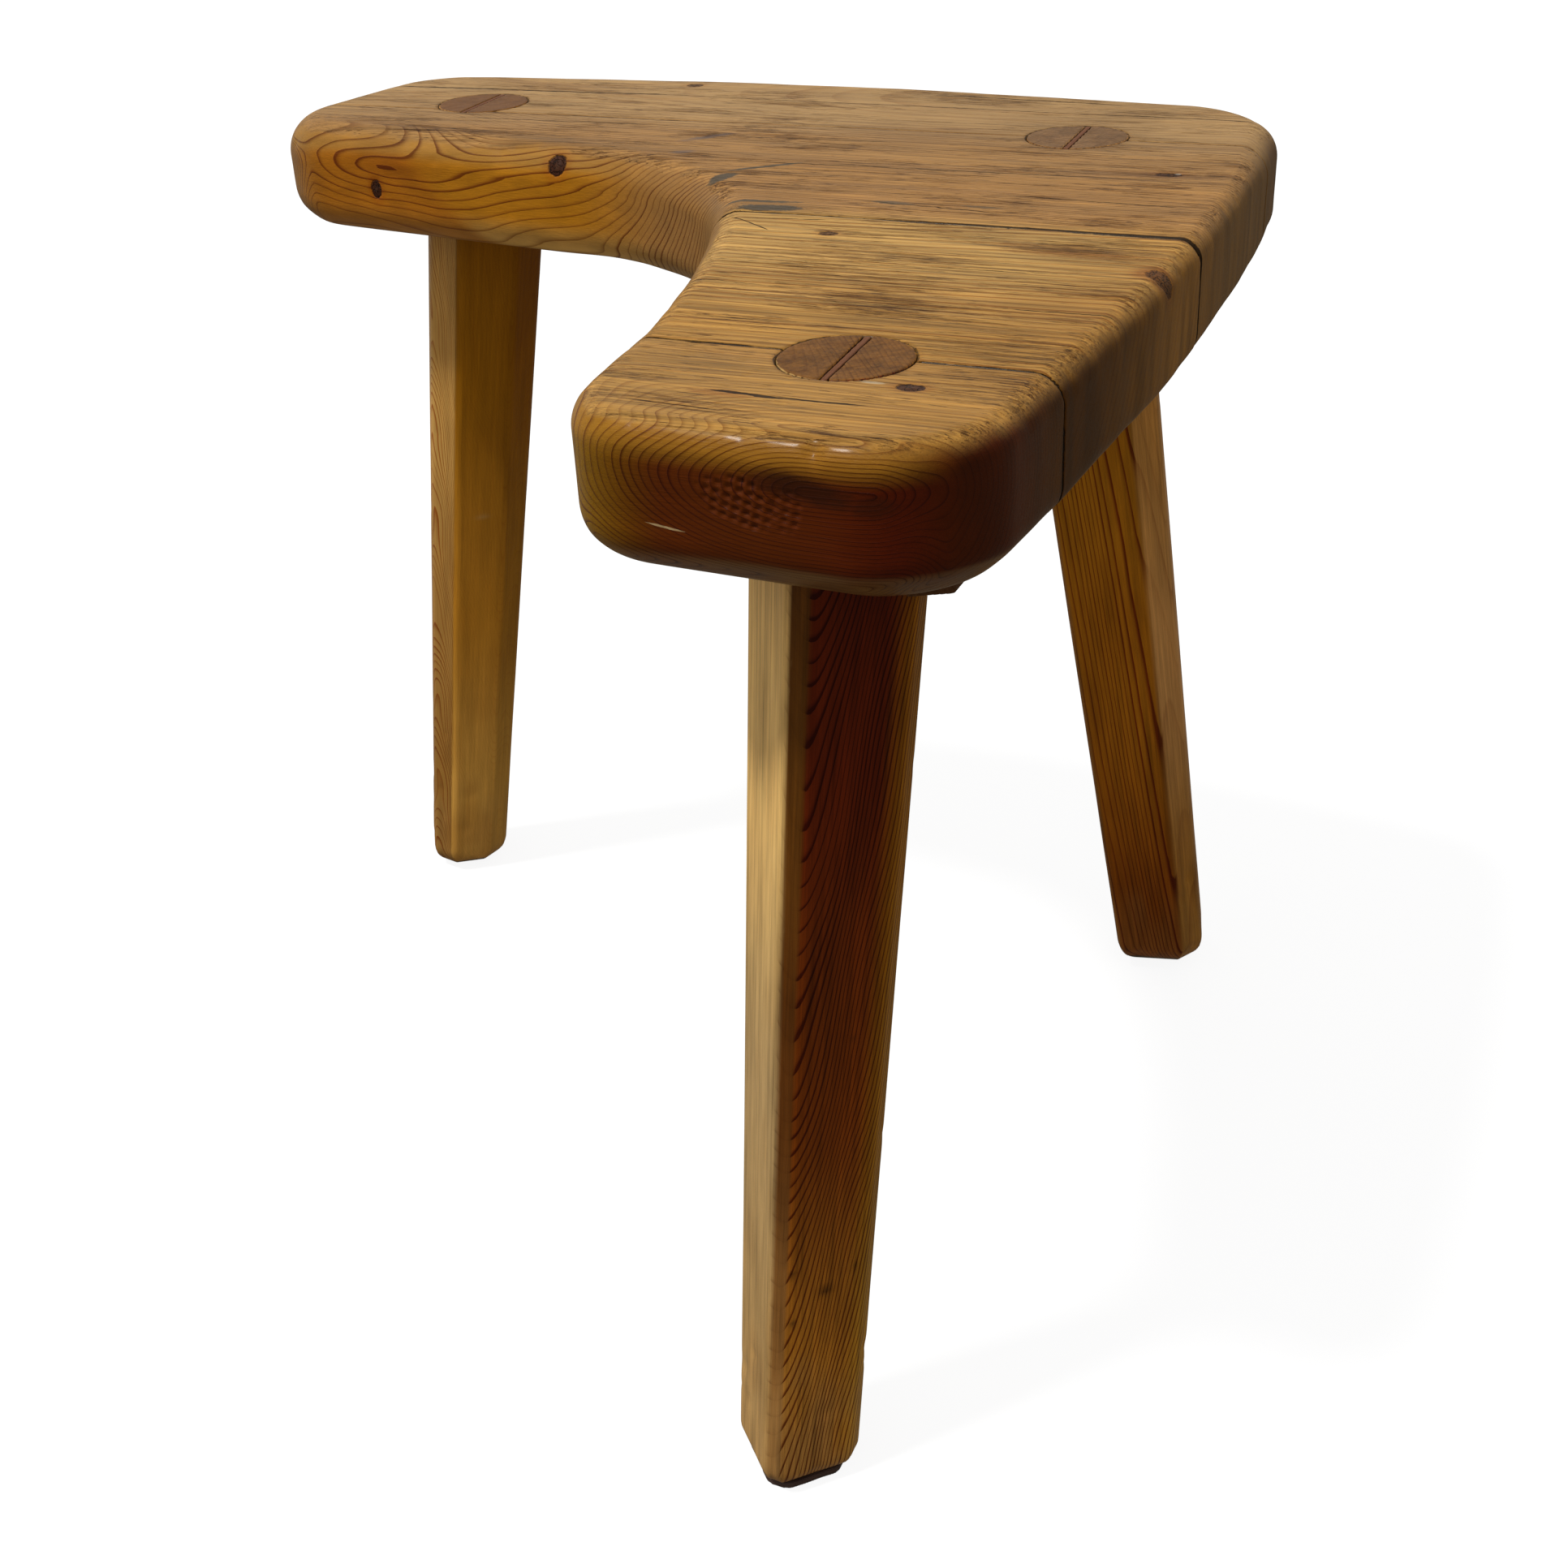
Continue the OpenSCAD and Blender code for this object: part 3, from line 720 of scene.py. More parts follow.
    inner = np.maximum(body, np.where(z > LOW + 1, sstep(-1.6, -0.5, z - SEAT_H) * sstep(0.5, 0.8, n[:, 2]), 0))
    attrs = dict(ring=ring, gco=gco, tone=tone, knot=np.full(len(v), 9.0), kdark=np.zeros(len(v)), nrm=n,
                 body=inner, top=endg, lmul=lmul)
    return make_mesh(name + "_worn", v, q, attrs)


# ------------------------------------------------------------------ shader graph helper
class S:
    """A socket with arithmetic, so that formulas read as formulas."""
    def __init__(self, g, sock):
        self.g, self.s = g, sock

    def __add__(self, o): return self.g.m("ADD", self, o)
    def __radd__(self, o): return self.g.m("ADD", o, self)
    def __sub__(self, o): return self.g.m("SUBTRACT", self, o)
    def __rsub__(self, o): return self.g.m("SUBTRACT", o, self)
    def __mul__(self, o): return self.g.m("MULTIPLY", self, o)
    def __rmul__(self, o): return self.g.m("MULTIPLY", o, self)
    def __truediv__(self, o): return self.g.m("DIVIDE", self, o)
    def __neg__(self): return self.g.m("MULTIPLY", self, -1.0)


class Graph:
    def __init__(self, name):
        self.mat = bpy.data.materials.new(name)
        self.mat.use_nodes = True
        self.t = self.mat.node_tree
        self.t.nodes.clear()
        self.cache = {}

    def put(self, inp, val):
        if isinstance(val, S):
            self.t.links.new(val.s, inp)
        elif val is not None:
            inp.default_value = val

    def m(self, op, a, b=None, c=None, clamp=False):
        n = self.t.nodes.new("ShaderNodeMath")
        n.operation = op
        n.use_clamp = clamp
        for i, x in enumerate((a, b, c)):
            if x is not None:
                self.put(n.inputs[i], x)
        return S(self, n.outputs[0])

    def clamp(self, a): return self.m("ADD", a, 0.0, clamp=True)
    def abs(self, a): return self.m("ABSOLUTE", a)
    def min(self, a, b): return self.m("MINIMUM", a, b)
    def max(self, a, b): return self.m("MAXIMUM", a, b)
    def fract(self, a): return self.m("FRACT", a)
    def floor(self, a): return self.m("FLOOR", a)

    def step(self, a, b, x):
        n = self.t.nodes.new("ShaderNodeMapRange")
        n.interpolation_type = "SMOOTHSTEP"
        flip = a > b
        self.put(n.inputs["Value"], x)
        n.inputs["From Min"].default_value = min(a, b)
        n.inputs["From Max"].default_value = max(a, b)
        n.inputs["To Min"].default_value = 1.0 if flip else 0.0
        n.inputs["To Max"].default_value = 0.0 if flip else 1.0
        return S(self, n.outputs["Result"])

    def attr(self, name, out="Fac"):
        if name not in self.cache:
            n = self.t.nodes.new("ShaderNodeAttribute")
            n.attribute_name = name
            self.cache[name] = n
        return S(self, self.cache[name].outputs[out])

    def vec(self, x, y, z):
        n = self.t.nodes.new("ShaderNodeCombineXYZ")
        for i, v in enumerate((x, y, z)):
            self.put(n.inputs[i], v)
        return S(self, n.outputs[0])

    def sep(self, v):
        n = self.t.nodes.new("ShaderNodeSeparateXYZ")
        self.put(n.inputs[0], v)
        return [S(self, o) for o in n.outputs]

    def noise(self, v, scale=(1, 1, 1), detail=2.0, rough=0.5, off=(0, 0, 0), color=False, dist=0.0):
        mp = self.t.nodes.new("ShaderNodeMapping")
        self.put(mp.inputs["Vector"], v)
        mp.inputs["Scale"].default_value = scale
        mp.inputs["Location"].default_value = off
        n = self.t.nodes.new("ShaderNodeTexNoise")
        self.t.links.new(mp.outputs[0], n.inputs["Vector"])
        n.inputs["Scale"].default_value = 1.0
        n.inputs["Detail"].default_value = detail
        n.inputs["Roughness"].default_value = rough
        n.inputs["Distortion"].default_value = dist
        return S(self, n.outputs["Color" if color else "Fac"])

    def voronoi(self, v, scale=(1, 1, 1), feature="F1", out="Distance", rand=1.0):
        mp = self.t.nodes.new("ShaderNodeMapping")
        self.put(mp.inputs["Vector"], v)
        mp.inputs["Scale"].default_value = scale
        n = self.t.nodes.new("ShaderNodeTexVoronoi")
        n.feature = feature
        self.t.links.new(mp.outputs[0], n.inputs["Vector"])
        n.inputs["Scale"].default_value = 1.0
        n.inputs["Randomness"].default_value = rand
        return S(self, n.outputs[out])

    def white(self, w):
        n = self.t.nodes.new("ShaderNodeTexWhiteNoise")
        n.noise_dimensions = "1D"
        self.put(n.inputs["W"], w)
        return S(self, n.outputs["Value"])

    def mixc(self, f, a, b, mode="MIX"):
        n = self.t.nodes.new("ShaderNodeMix")
        n.data_type = "RGBA"
        n.blend_type = mode
        n.clamp_factor = True
        self.put(n.inputs[0], f)
        for i, x in ((6, a), (7, b)):
            if isinstance(x, S):
                self.t.links.new(x.s, n.inputs[i])
            else:
                n.inputs[i].default_value = (*[float(k) for k in x], 1.0)
        return S(self, n.outputs[2])

    def bump(self, h, dist, strength=1.0, normal=None):
        n = self.t.nodes.new("ShaderNodeBump")
        self.put(n.inputs["Height"], h)
        n.inputs["Distance"].default_value = dist
        n.inputs["Strength"].default_value = strength
        if normal is not None:
            self.t.links.new(normal.s, n.inputs["Normal"])
        return S(self, n.outputs[0])

    def finish(self, base, rough, normal=None, **fixed):
        b = self.t.nodes.new("ShaderNodeBsdfPrincipled")
        o = self.t.nodes.new("ShaderNodeOutputMaterial")
        self.t.links.new(b.outputs[0], o.inputs[0])
        self.put(b.inputs["Base Color"], base if isinstance(base, S) else (*base, 1.0))
        self.put(b.inputs["Roughness"], rough)
        if normal is not None:
            self.t.links.new(normal.s, b.inputs["Normal"])
        for k, v in fixed.items():
            b.inputs[k.replace("_", " ")].default_value = v
        return self.mat


# ------------------------------------------------------------------ pine
def crack(g, x, y, x0, y0, x1, y1, w=0.5, wob=0.8, ends=6.0, seed=0.0):
    """Mask of a thin split that runs from one point to the other along the grain."""
    m = (y1 - y0) / (x1 - x0)
    line = (x - x0) * m + y0
    n = g.noise(g.vec(x, seed, 0.0), (0.09, 1, 1), 3.0, 0.6)
    n2 = g.noise(g.vec(x, seed + 7.3, 0.0), (0.25, 1, 1), 2.0, 0.5)
    d = g.abs(y - line - (n - 0.5) * (wob * 3))
    win = g.step(x0 - 0.1, x0 + ends, x) * g.step(x1 + 0.1, x1 - ends, x)
    ww = win * (n2 * 1.3 + 0.25) * w
    return g.clamp((ww - d) / (w * 0.35) + 0.35) * g.step(0.02, 0.2, win)


def spot(g, x, y, cx, cy, rx, ry, ang=0.0, rag=0.5, edge=0.25, nz=None):
    """Mask of a ragged patch."""
    c, s = math.cos(math.radians(ang)), math.sin(math.radians(ang))
    dx, dy = x - cx, y - cy
    u = (dx * (c / rx) + dy * (s / rx))
    v = (dy * (c / ry) - dx * (s / ry))
    r = g.m("SQRT", u * u + v * v)
    if nz is not None:
        r = r + (nz - 0.5) * (2 * rag)
    return g.step(1.0 + edge, 1.0 - edge, r)


def joint_lines(g, P, x, y, col, height, body, lines):
    """Dark, uneven glue lines, drawn where two boards meet; line: (row y, half width in mm, x where it starts to open, extra)."""
    n = g.noise(P, (0.06, 0.02, 0.25), 3.0, 0.6, off=(1, 1, 5))
    n2 = g.noise(P, (0.5, 0.1, 0.5), 2.0, 0.6, off=(4, 1, 5))
    for yj, hw, x0, extra in lines:
        w = (n * 1.5 + 0.15) * hw
        if extra:
            w = w + g.step(x0, x0 + 45.0, x) * extra
        d = g.abs(y - yj + (n2 - 0.5) * 0.35)
        m = g.clamp((w - d) / 0.22 + 0.5)
        col = g.mixc(m * 0.93, col, (0.012, 0.008, 0.005))
        near = g.step(w_near(hw), 0.2, d) * g.step(0.40, 0.62, n)
        col = g.mixc(near * 0.40, col, g.mixc(1.0, col, (0.55, 0.46, 0.38), "MULTIPLY"))
        height = height - m * 2.0
    return col, height


def w_near(hw):
    return 2.2 + hw


def pine(name, late=0.55, late_col=(0.50, 0.34, 0.20), weather=0.0, fibre=0.16, blotch=0.2, rough=0.40, end_axis=0, marks=None,
         ring_wave=0.10, coat=0.03, seed=0.0, late_lo=0.42, late_top=1.0, joints=(), bores=(), inner=0.05, streak=0.0, grain=0.0, spec=0.08):
    g = Graph(name)
    P = g.attr("gco", "Vector")
    x, y, z = g.sep(P)
    nx, ny, nz = g.sep(g.attr("nrm", "Vector"))
    ring, kn, kd = g.attr("ring"), g.attr("knot"), g.attr("kdark")
    top, body = g.attr("top"), g.attr("body")
    # end grain faces, across the fibres
    along = (g.abs(nx) if end_axis == 0 else g.abs(nz))
    endg = g.step(0.72, 0.97, along)
    # growth rings
    big = g.noise(P, (0.012, 0.05, 0.05), 2.0, 0.5, off=(seed, 3.1, 7.7))
    fine = g.noise(P, (0.05, 0.45, 0.45), 3.0, 0.55, off=(1.3, seed, 2.2))
    rn = ring + (big - 0.5) * (ring_wave * 4) + (fine - 0.5) * (ring_wave * 0.9)
    fr, rid = g.fract(rn), g.floor(rn)
    w1 = g.white(rid + seed)
    w2 = g.white(rid * 1.37 + 11.5 + seed)
    rise = g.m("SMOOTH_MIN", fr, 1.0, 0.001)
    lo = w1 * 0.25 + late_lo
    L = g.clamp((fr - lo) / (0.94 - lo))
    L = L * (L * (1.0 - top * 0.75) + top * 0.75) * g.step(1.0, 0.95, fr)
    L = L * (w2 * 0.75 + 0.5) * late * g.attr("lmul")
    L = g.clamp(L * (1.0 - top * (1.0 - late_top)))
    # fibres
    f1 = g.noise(P, (0.010, 1.5, 1.5), 4.0, 0.62, off=(seed, 0, 0))
    f2 = g.noise(P, (0.035, 5.0, 5.0), 3.0, 0.6, off=(0, seed, 0))
    f3 = g.noise(P, (0.02, 0.22, 0.22), 3.0, 0.6, off=(0, 0, seed + 4))
    f4 = g.noise(P, (0.011, 0.46, 0.46), 5.0, 0.68, off=(seed, 7, 2))
    shade = ((f1 - 0.5) * (fibre * 2.2) + (f2 - 0.5) * (fibre * 2.0)) * (top * streak + 1.0) + (f3 - 0.5) * (blotch * 2.0) + 1.0
    if streak:
        shade = shade + (f4 - 0.5) * (top * (streak * 0.85))
    if grain:
        f5 = g.noise(P, (0.008, 0.62, 0.62), 4.0, 0.7, off=(seed, 7, 5))
        f6 = g.noise(P, (0.014, 0.10, 0.10), 3.0, 0.6, off=(seed, 2, 5))
        shade = shade + (f5 - 0.5) * (grain * 1.5) + (f6 - 0.5) * grain
    base = g.mixc(1.0, g.attr("tone", "Color"), g.vec(shade, shade, shade), "MULTIPLY")
    lc = g.mixc(1.0, base, late_col, "MULTIPLY")
    col = g.mixc(L, base, lc)
    # warm flecks between the rings
    wf = g.noise(P, (0.025, 0.6, 0.6), 3.0, 0.7, off=(5, 1, seed))
    col = g.mixc(g.step(0.55, 0.8, wf) * 0.35, col, g.mixc(1.0, col, (1.12, 0.95, 0.72), "MULTIPLY"))
    # end grain: pores and a duller colour
    pore = g.voronoi(P, (1.4, 1.4, 1.4))
    pm = g.step(0.34, 0.08, pore) * endg
    col = g.mixc(pm * 0.45, col, g.mixc(1.0, col, (0.45, 0.4, 0.36), "MULTIPLY"))
    height = (L * 0.35 + (f1 - 0.5) * 0.55 + (f2 - 0.5) * 0.35) * body
    rgh = (f3 - 0.5) * 0.22 + (f1 - 0.5) * 0.12 + rough + top * 0.05 + endg * 0.08
    if end_axis == 2:
        # stained, scratched ends of the tenons
        e1 = g.noise(P, (0.3, 0.55, 0.10), 4.0, 0.65, off=(seed, 4, 4))
        e2 = g.noise(P, (0.3, 0.16, 0.16), 3.0, 0.6, off=(seed, 1, 4))
        col = g.mixc(g.step(0.48, 0.66, e1) * top * 0.55, col, g.mixc(1.0, col, (0.58, 0.50, 0.42), "MULTIPLY"))
        col = g.mixc(g.step(0.50, 0.70, e2) * top * 0.50, col, g.mixc(1.0, col, (0.70, 0.66, 0.60), "MULTIPLY"))
        col = g.mixc(g.step(0.50, 0.30, e1) * top * 0.40, col, g.mixc(1.0, col, (1.22, 1.24, 1.25), "MULTIPLY"))
    if weather:
        # short dark drying checks and dirt drawn along the grain, on the top only
        s1 = g.noise(P, (0.026, 0.62, 0.62), 5.0, 0.70, off=(seed * 2, 9, 1))
        s2 = g.noise(P, (0.016, 0.08, 0.08), 2.0, 0.5, off=(4, seed, 1))
        st = g.step(0.57, 0.63, s1 + (s2 - 0.5) * 0.50) * top
        s3 = g.noise(P, (0.085, 1.5, 1.5), 3.0, 0.6, off=(seed, 2, 8))
        st2 = g.step(0.61, 0.655, s3 + (s2 - 0.5) * 0.40) * top
        s4 = g.noise(P, (0.020, 0.75, 0.75), 4.0, 0.7, off=(seed, 3, 4))
        lt = g.step(0.56, 0.66, s4) * top
        col = g.mixc(lt * (0.45 * weather), col, g.mixc(1.0, col, (1.22, 1.22, 1.18), "MULTIPLY"))
        col = g.mixc(st * (0.55 * weather), col, g.mixc(1.0, col, (0.56, 0.47, 0.38), "MULTIPLY"))
        col = g.mixc(st2 * (0.80 * weather), col, g.mixc(1.0, col, (0.30, 0.23, 0.17), "MULTIPLY"))
        grey = g.noise(P, (0.03, 0.16, 0.16), 3.0, 0.6, off=(2, seed, 6))
        col = g.mixc(g.step(0.50, 0.75, grey) * top * (0.45 * weather), col, g.mixc(1.0, col, (0.88, 0.90, 0.98), "MULTIPLY"))
        height = height - st * 0.5 - st2 * 0.9
        rgh = rgh + st * 0.15
    # knots
    kn2 = kn + (g.noise(P, (0.4, 0.4, 0.4), 3.0, 0.6) - 0.5) * 0.5
    inside = g.step(1.12, 0.92, kn2) * g.step(0.0, 0.3, kd)
    halo = g.step(2.2, 1.0, kn2) * kd
    col = g.mixc(halo * 0.55, col, g.mixc(1.0, col, (0.78, 0.55, 0.30), "MULTIPLY"))
    krings = g.fract(kn2 * 3.3)
    kc = g.mixc(krings * 0.5, (0.060, 0.018, 0.006), (0.022, 0.006, 0.003))
    kc = g.mixc(g.step(0.55, 0.15, kn2) * 0.6, kc, (0.085, 0.038, 0.018))
    kc = g.mixc(kd, col, kc)
    col = g.mixc(inside, col, kc)
    split = g.step(0.06, 0.0, g.abs(g.noise(P, (0.5, 0.5, 0.5), 1.0, 0.5, off=(3, 3, seed)) - 0.5)) * inside
    col = g.mixc(split * 0.8, col, (0.01, 0.004, 0.002))
    height = height - split * 1.5 - g.step(0.12, 0.0, g.abs(kn2 - 1.0)) * 1.2 * kd
    if marks:
        col, height, rgh = marks(g, P, x, y, z, top, col, height, rgh)
    if joints:
        col, height = joint_lines(g, P, x, y, col, height, body, joints)
    for leg in bores:
        cx, cy = LEGS[leg]["top"]
        nb = g.noise(P, (0.22, 0.22, 0.22), 3.0, 0.6, off=(2, 2, 2))
        dr = g.abs(g.m("SQRT", (x - cx) * (x - cx) + (y - cy) * (y - cy)) - 21.0)
        mb = g.clamp(((nb - 0.22) * 1.5 - dr) / 0.25 + 0.5) * top
        col = g.mixc(mb * 0.9, col, (0.020, 0.012, 0.007))
        col = g.mixc(g.step(2.6, 0.3, dr) * 0.35 * top, col, g.mixc(1.0, col, (0.55, 0.44, 0.34), "MULTIPLY"))
    # bores, joint faces and kerfs are raw and darkened nearly to black: old dirt and painted shade in the gaps
    col = g.mixc(g.step(0.6, 0.1, body) * (1.0 - inner), col, g.mixc(1.0, col, (0.05, 0.035, 0.025), "MULTIPLY")) if inner < 1 else col
    nrm = g.bump(height, 0.00024, 1.0)
    return g.finish(col, g.clamp(rgh), nrm, Coat_Weight=coat, Coat_Roughness=0.16, Specular_IOR_Level=spec)


def dark_marks(g, col, height, rgh, mask, depth=2.0, colour=(0.016, 0.010, 0.007), amt=0.92):
    return g.mixc(mask * amt, col, colour), height - mask * depth, rgh + mask * 0.3


def marks_back(g, P, x, y, z, top, col, h, r):
    m = crack(g, x, y, -212, 177.0, -60, 182.6, 0.9, 0.9, 10, 1.0)
    m = g.max(m, crack(g, x, y, -70, 182.4, 215, 176.8, 0.42, 1.0, 8, 2.0))
    m = g.max(m, crack(g, x, y, 60, 205, 150, 199, 0.5, 1.2, 14, 3.0))
    m = g.max(m, crack(g, x, y, 110, 150, 168, 151, 0.35, 1.0, 10, 6.0))
    m = m * top
    col, h, r = dark_marks(g, col, h, r, m, 2.2)
    # dirt gathered along the joint in front and along the split
    nz = g.noise(P, (0.03, 0.4, 0.4), 3.0, 0.6, off=(8, 2, 1))
    d = g.step(9.0, 0.0, y - JOINTS[0]) * g.step(0.45, 0.7, nz) * top
    col = g.mixc(d * 0.5, col, g.mixc(1.0, col, (0.62, 0.52, 0.44), "MULTIPLY"))
    for cx, cy, rx, ry in ((-74, 163, 7, 2.2), (12, 144, 9, 1.8), (92, 139, 10, 1.6)):
        s = spot(g, x, y, cx, cy, rx, ry, 4, 0.9, 0.5, nz) * top
        col = g.mixc(s * 0.6, col, g.mixc(1.0, col, (0.42, 0.34, 0.28), "MULTIPLY"))
    return col, h, r


def marks_mid_back(g, P, x, y, z, top, col, h, r):
    nz = g.noise(P, (0.14, 0.30, 0.30), 3.0, 0.65, off=(2, 5, 1))
    n2 = g.noise(P, (0.03, 0.45, 0.45), 3.0, 0.6, off=(1, 2, 9))
    n3 = g.noise(P, (0.35, 0.6, 0.6), 3.0, 0.7, off=(6, 2, 9))
    # the boundary where the old finish changes from grey-brown to gold
    m = crack(g, x, y, 6, 65.0, 205, 71.0, 0.38, 1.6, 10, 21.0)
    m = g.max(m, crack(g, x, y, 62, -15, 84, -9, 0.0001, 0.1, 3, 4.0))
    m = g.max(m, crack(g, x, y, 96, 16.5, 160, 10.0, 0.45, 1.4, 12, 5.0))
    m = g.max(m, crack(g, x, y, 20, 108, 78, 110, 0.32, 1.2, 12, 8.0))
    m = g.max(m, crack(g, x, y, -150, 118, -40, 121, 0.35, 1.2, 18, 9.0))
    m = g.max(m, crack(g, x, y, 150, 36, 222, 32, 0.38, 1.4, 14, 12.0))
    m = m * top
    col, h, r = dark_marks(g, col, h, r, m, 2.0)
    # golden below the boundary
    gold = g.step(70.0, 60.0, y + (n2 - 0.5) * 12) * top
    col = g.mixc(gold * 0.30, col, g.mixc(1.0, col, (1.12, 1.02, 0.82), "MULTIPLY"))
    band = g.step(9.0, 0.0, g.abs(y - 72.0)) * g.step(0.42, 0.7, n2) * top
    col = g.mixc(band * 0.45, col, g.mixc(1.0, col, (0.66, 0.56, 0.50), "MULTIPLY"))
    # dull grey filler and old paint near the hollow
    gr = (0.075, 0.067, 0.046)
    s = spot(g, x, y, 31.0, 39.5, 7.0, 4.0, 64, 0.45, 0.15, n3)
    s = g.max(s, spot(g, x, y, 41.0, 58.5, 15.0, 1.5, 38, 0.7, 0.3, n3))
    s = g.max(s, spot(g, x, y, 69.0, -1.8, 13.5, 4.0, 6, 0.55, 0.15, n3))
    s = g.max(s, spot(g, x, y, 62.0, 7.0, 16.0, 1.5, 5, 0.8, 0.3, n3))
    s = g.max(s, spot(g, x, y, 112.0, 15.5, 8.0, 2.3, -4, 0.6, 0.25, n3) * 0.75)
    s = g.max(s, spot(g, x, y, 146.0, 17.0, 7.0, 1.4, -4, 0.8, 0.3, n3) * 0.6)
    col = g.mixc(s * top * 0.90, col, g.mixc(nz, gr, (0.055, 0.040, 0.026)))
    h = h + s * top * 0.4
    s = spot(g, x, y, -5.0, 104.0, 13.0, 2.4, 48, 0.8, 0.5, nz)
    s = g.max(s, spot(g, x, y, -4.0, 76.0, 4.5, 2.6, 30, 0.8, 0.5, nz))
    col = g.mixc(s * top * 0.55, col, (0.10, 0.082, 0.085))
    # dirt round the mid joint
    s = g.step(7.0, 0.0, y - JOINTS[1]) * g.step(0.40, 0.66, n2) * top * g.step(60, 130, x)
    col = g.mixc(s * 0.55, col, g.mixc(1.0, col, (0.50, 0.42, 0.34), "MULTIPLY"))
    # knot tail and its light speck
    s = spot(g, x, y, 192.0, 79.0, 24.0, 3.4, -3, 0.9, 0.5, nz) * top
    col = g.mixc(s * 0.5, col, g.mixc(1.0, col, (0.50, 0.40, 0.34), "MULTIPLY"))
    s = spot(g, x, y, 203.0, 81.8, 1.3, 0.9, 0, 0.2, 0.3, n3) * top
    col = g.mixc(s * 0.55, col, (0.48, 0.42, 0.34))
    return col, h, r


def marks_mid_front(g, P, x, y, z, top, col, h, r):
    nz = g.noise(P, (0.14, 0.30, 0.30), 3.0, 0.65, off=(3, 5, 7))
    n2 = g.noise(P, (0.03, 0.45, 0.45), 3.0, 0.6, off=(4, 2, 9))
    m = crack(g, x, y, 59.5, -15.0, 82, -31.0, 0.42, 0.4, 3, 31.0)
    m = g.max(m, crack(g, x, y, 64.0, -17.0, 100, -12.5, 0.45, 0.8, 8, 32.0))
    m = g.max(m, crack(g, x, y, 150, -62, 196, -60.0, 0.30, 1.0, 10, 33.0))
    m = g.max(m, crack(g, x, y, 70, -92, 110, -95.0, 0.25, 1.0, 10, 34.0))
    m = g.max(m, crack(g, x, y, 190, -100, 232, -99.0, 0.35, 1.2, 10, 35.0))
    m = m * top
    col, h, r = dark_marks(g, col, h, r, m, 2.0)
    s = spot(g, x, y, 191.0, -33.0, 27.0, 6.0, -8, 0.75, 0.4, nz) * top
    col = g.mixc(s * 0.62, col, g.mixc(1.0, col, (0.58, 0.46, 0.36), "MULTIPLY"))
    s = spot(g, x, y, 229.0, -50.8, 9.0, 8.0, 0, 0.5, 0.4, nz) * top
    col = g.mixc(s * 0.6, col, g.mixc(1.0, col, (0.66, 0.46, 0.34), "MULTIPLY"))
    s = g.step(6.0, 0.0, JOINTS[1] - y) * g.step(0.42, 0.66, n2) * top * g.step(130, 170, x)
    col = g.mixc(s * 0.5, col, g.mixc(1.0, col, (0.52, 0.42, 0.32), "MULTIPLY"))
    s = g.step(8.0, 0.0, y - JOINTS[2]) * g.step(0.45, 0.7, n2) * top
    col = g.mixc(s * 0.4, col, g.mixc(1.0, col, (0.66, 0.56, 0.44), "MULTIPLY"))
    return col, h, r


def marks_front(g, P, x, y, z, top, col, h, r):
    nz = g.noise(P, (0.14, 0.30, 0.30), 3.0, 0.65, off=(3, 8, 7))
    n2 = g.noise(P, (0.035, 0.35, 0.35), 3.0, 0.6, off=(4, 4, 9))
    n3 = g.noise(P, (0.35, 0.6, 0.6), 3.0, 0.7, off=(6, 2, 9))
    m = crack(g, x, y, 134.0, -194.4, 160, -196.3, 1.0, 0.8, 7, 41.0)
    m = g.max(m, crack(g, x, y, 152.0, -196.0, 185, -195.4, 0.5, 0.8, 9, 42.0))
    m = g.max(m, crack(g, x, y, 112, -208, 150, -210.0, 0.26, 1.0, 10, 43.0))
    m = m * top
    col, h, r = dark_marks(g, col, h, r, m, 2.4)
    s = spot(g, x, y, 139.0, -196.5, 9.0, 3.0, 0, 0.8, 0.4, nz) * top
    col = g.mixc(s * 0.55, col, g.mixc(1.0, col, (0.62, 0.44, 0.30), "MULTIPLY"))
    s = spot(g, x, y, 178.0, -176.6, 3.6, 0.9, 0, 0.4, 0.3, n3) * top
    col = g.mixc(s * 0.5, col, (0.60, 0.50, 0.34))
    # joint C: a greenish line of old glue to the right of the tenon
    s = g.step(1.3, 0.4, JOINTS[2] - y + (n3 - 0.5) * 1.6) * g.step(182, 188, x) * top
    col = g.mixc(s * 0.6, col, (0.13, 0.125, 0.085))
    # front face: nearly black stain, and a pale scratch
    face = 1.0 - top
    s = spot(g, x, z, 176.0, 402.5, 15.0, 3.6, -9, 0.6, 0.55, nz) * face
    s = g.max(s, spot(g, x, z, 196.0, 399.0, 6.0, 3.0, 0, 0.6, 0.6, nz) * face * 0.7)
    col = g.mixc(s * 0.85, col, (0.030, 0.006, 0.001))
    s = crack(g, x, z, 126.5, 386.6, 141.0, 385.2, 0.40, 0.2, 5, 51.0) * face
    col = g.mixc(s * 0.8, col, (0.55, 0.40, 0.20))
    return col, h, r


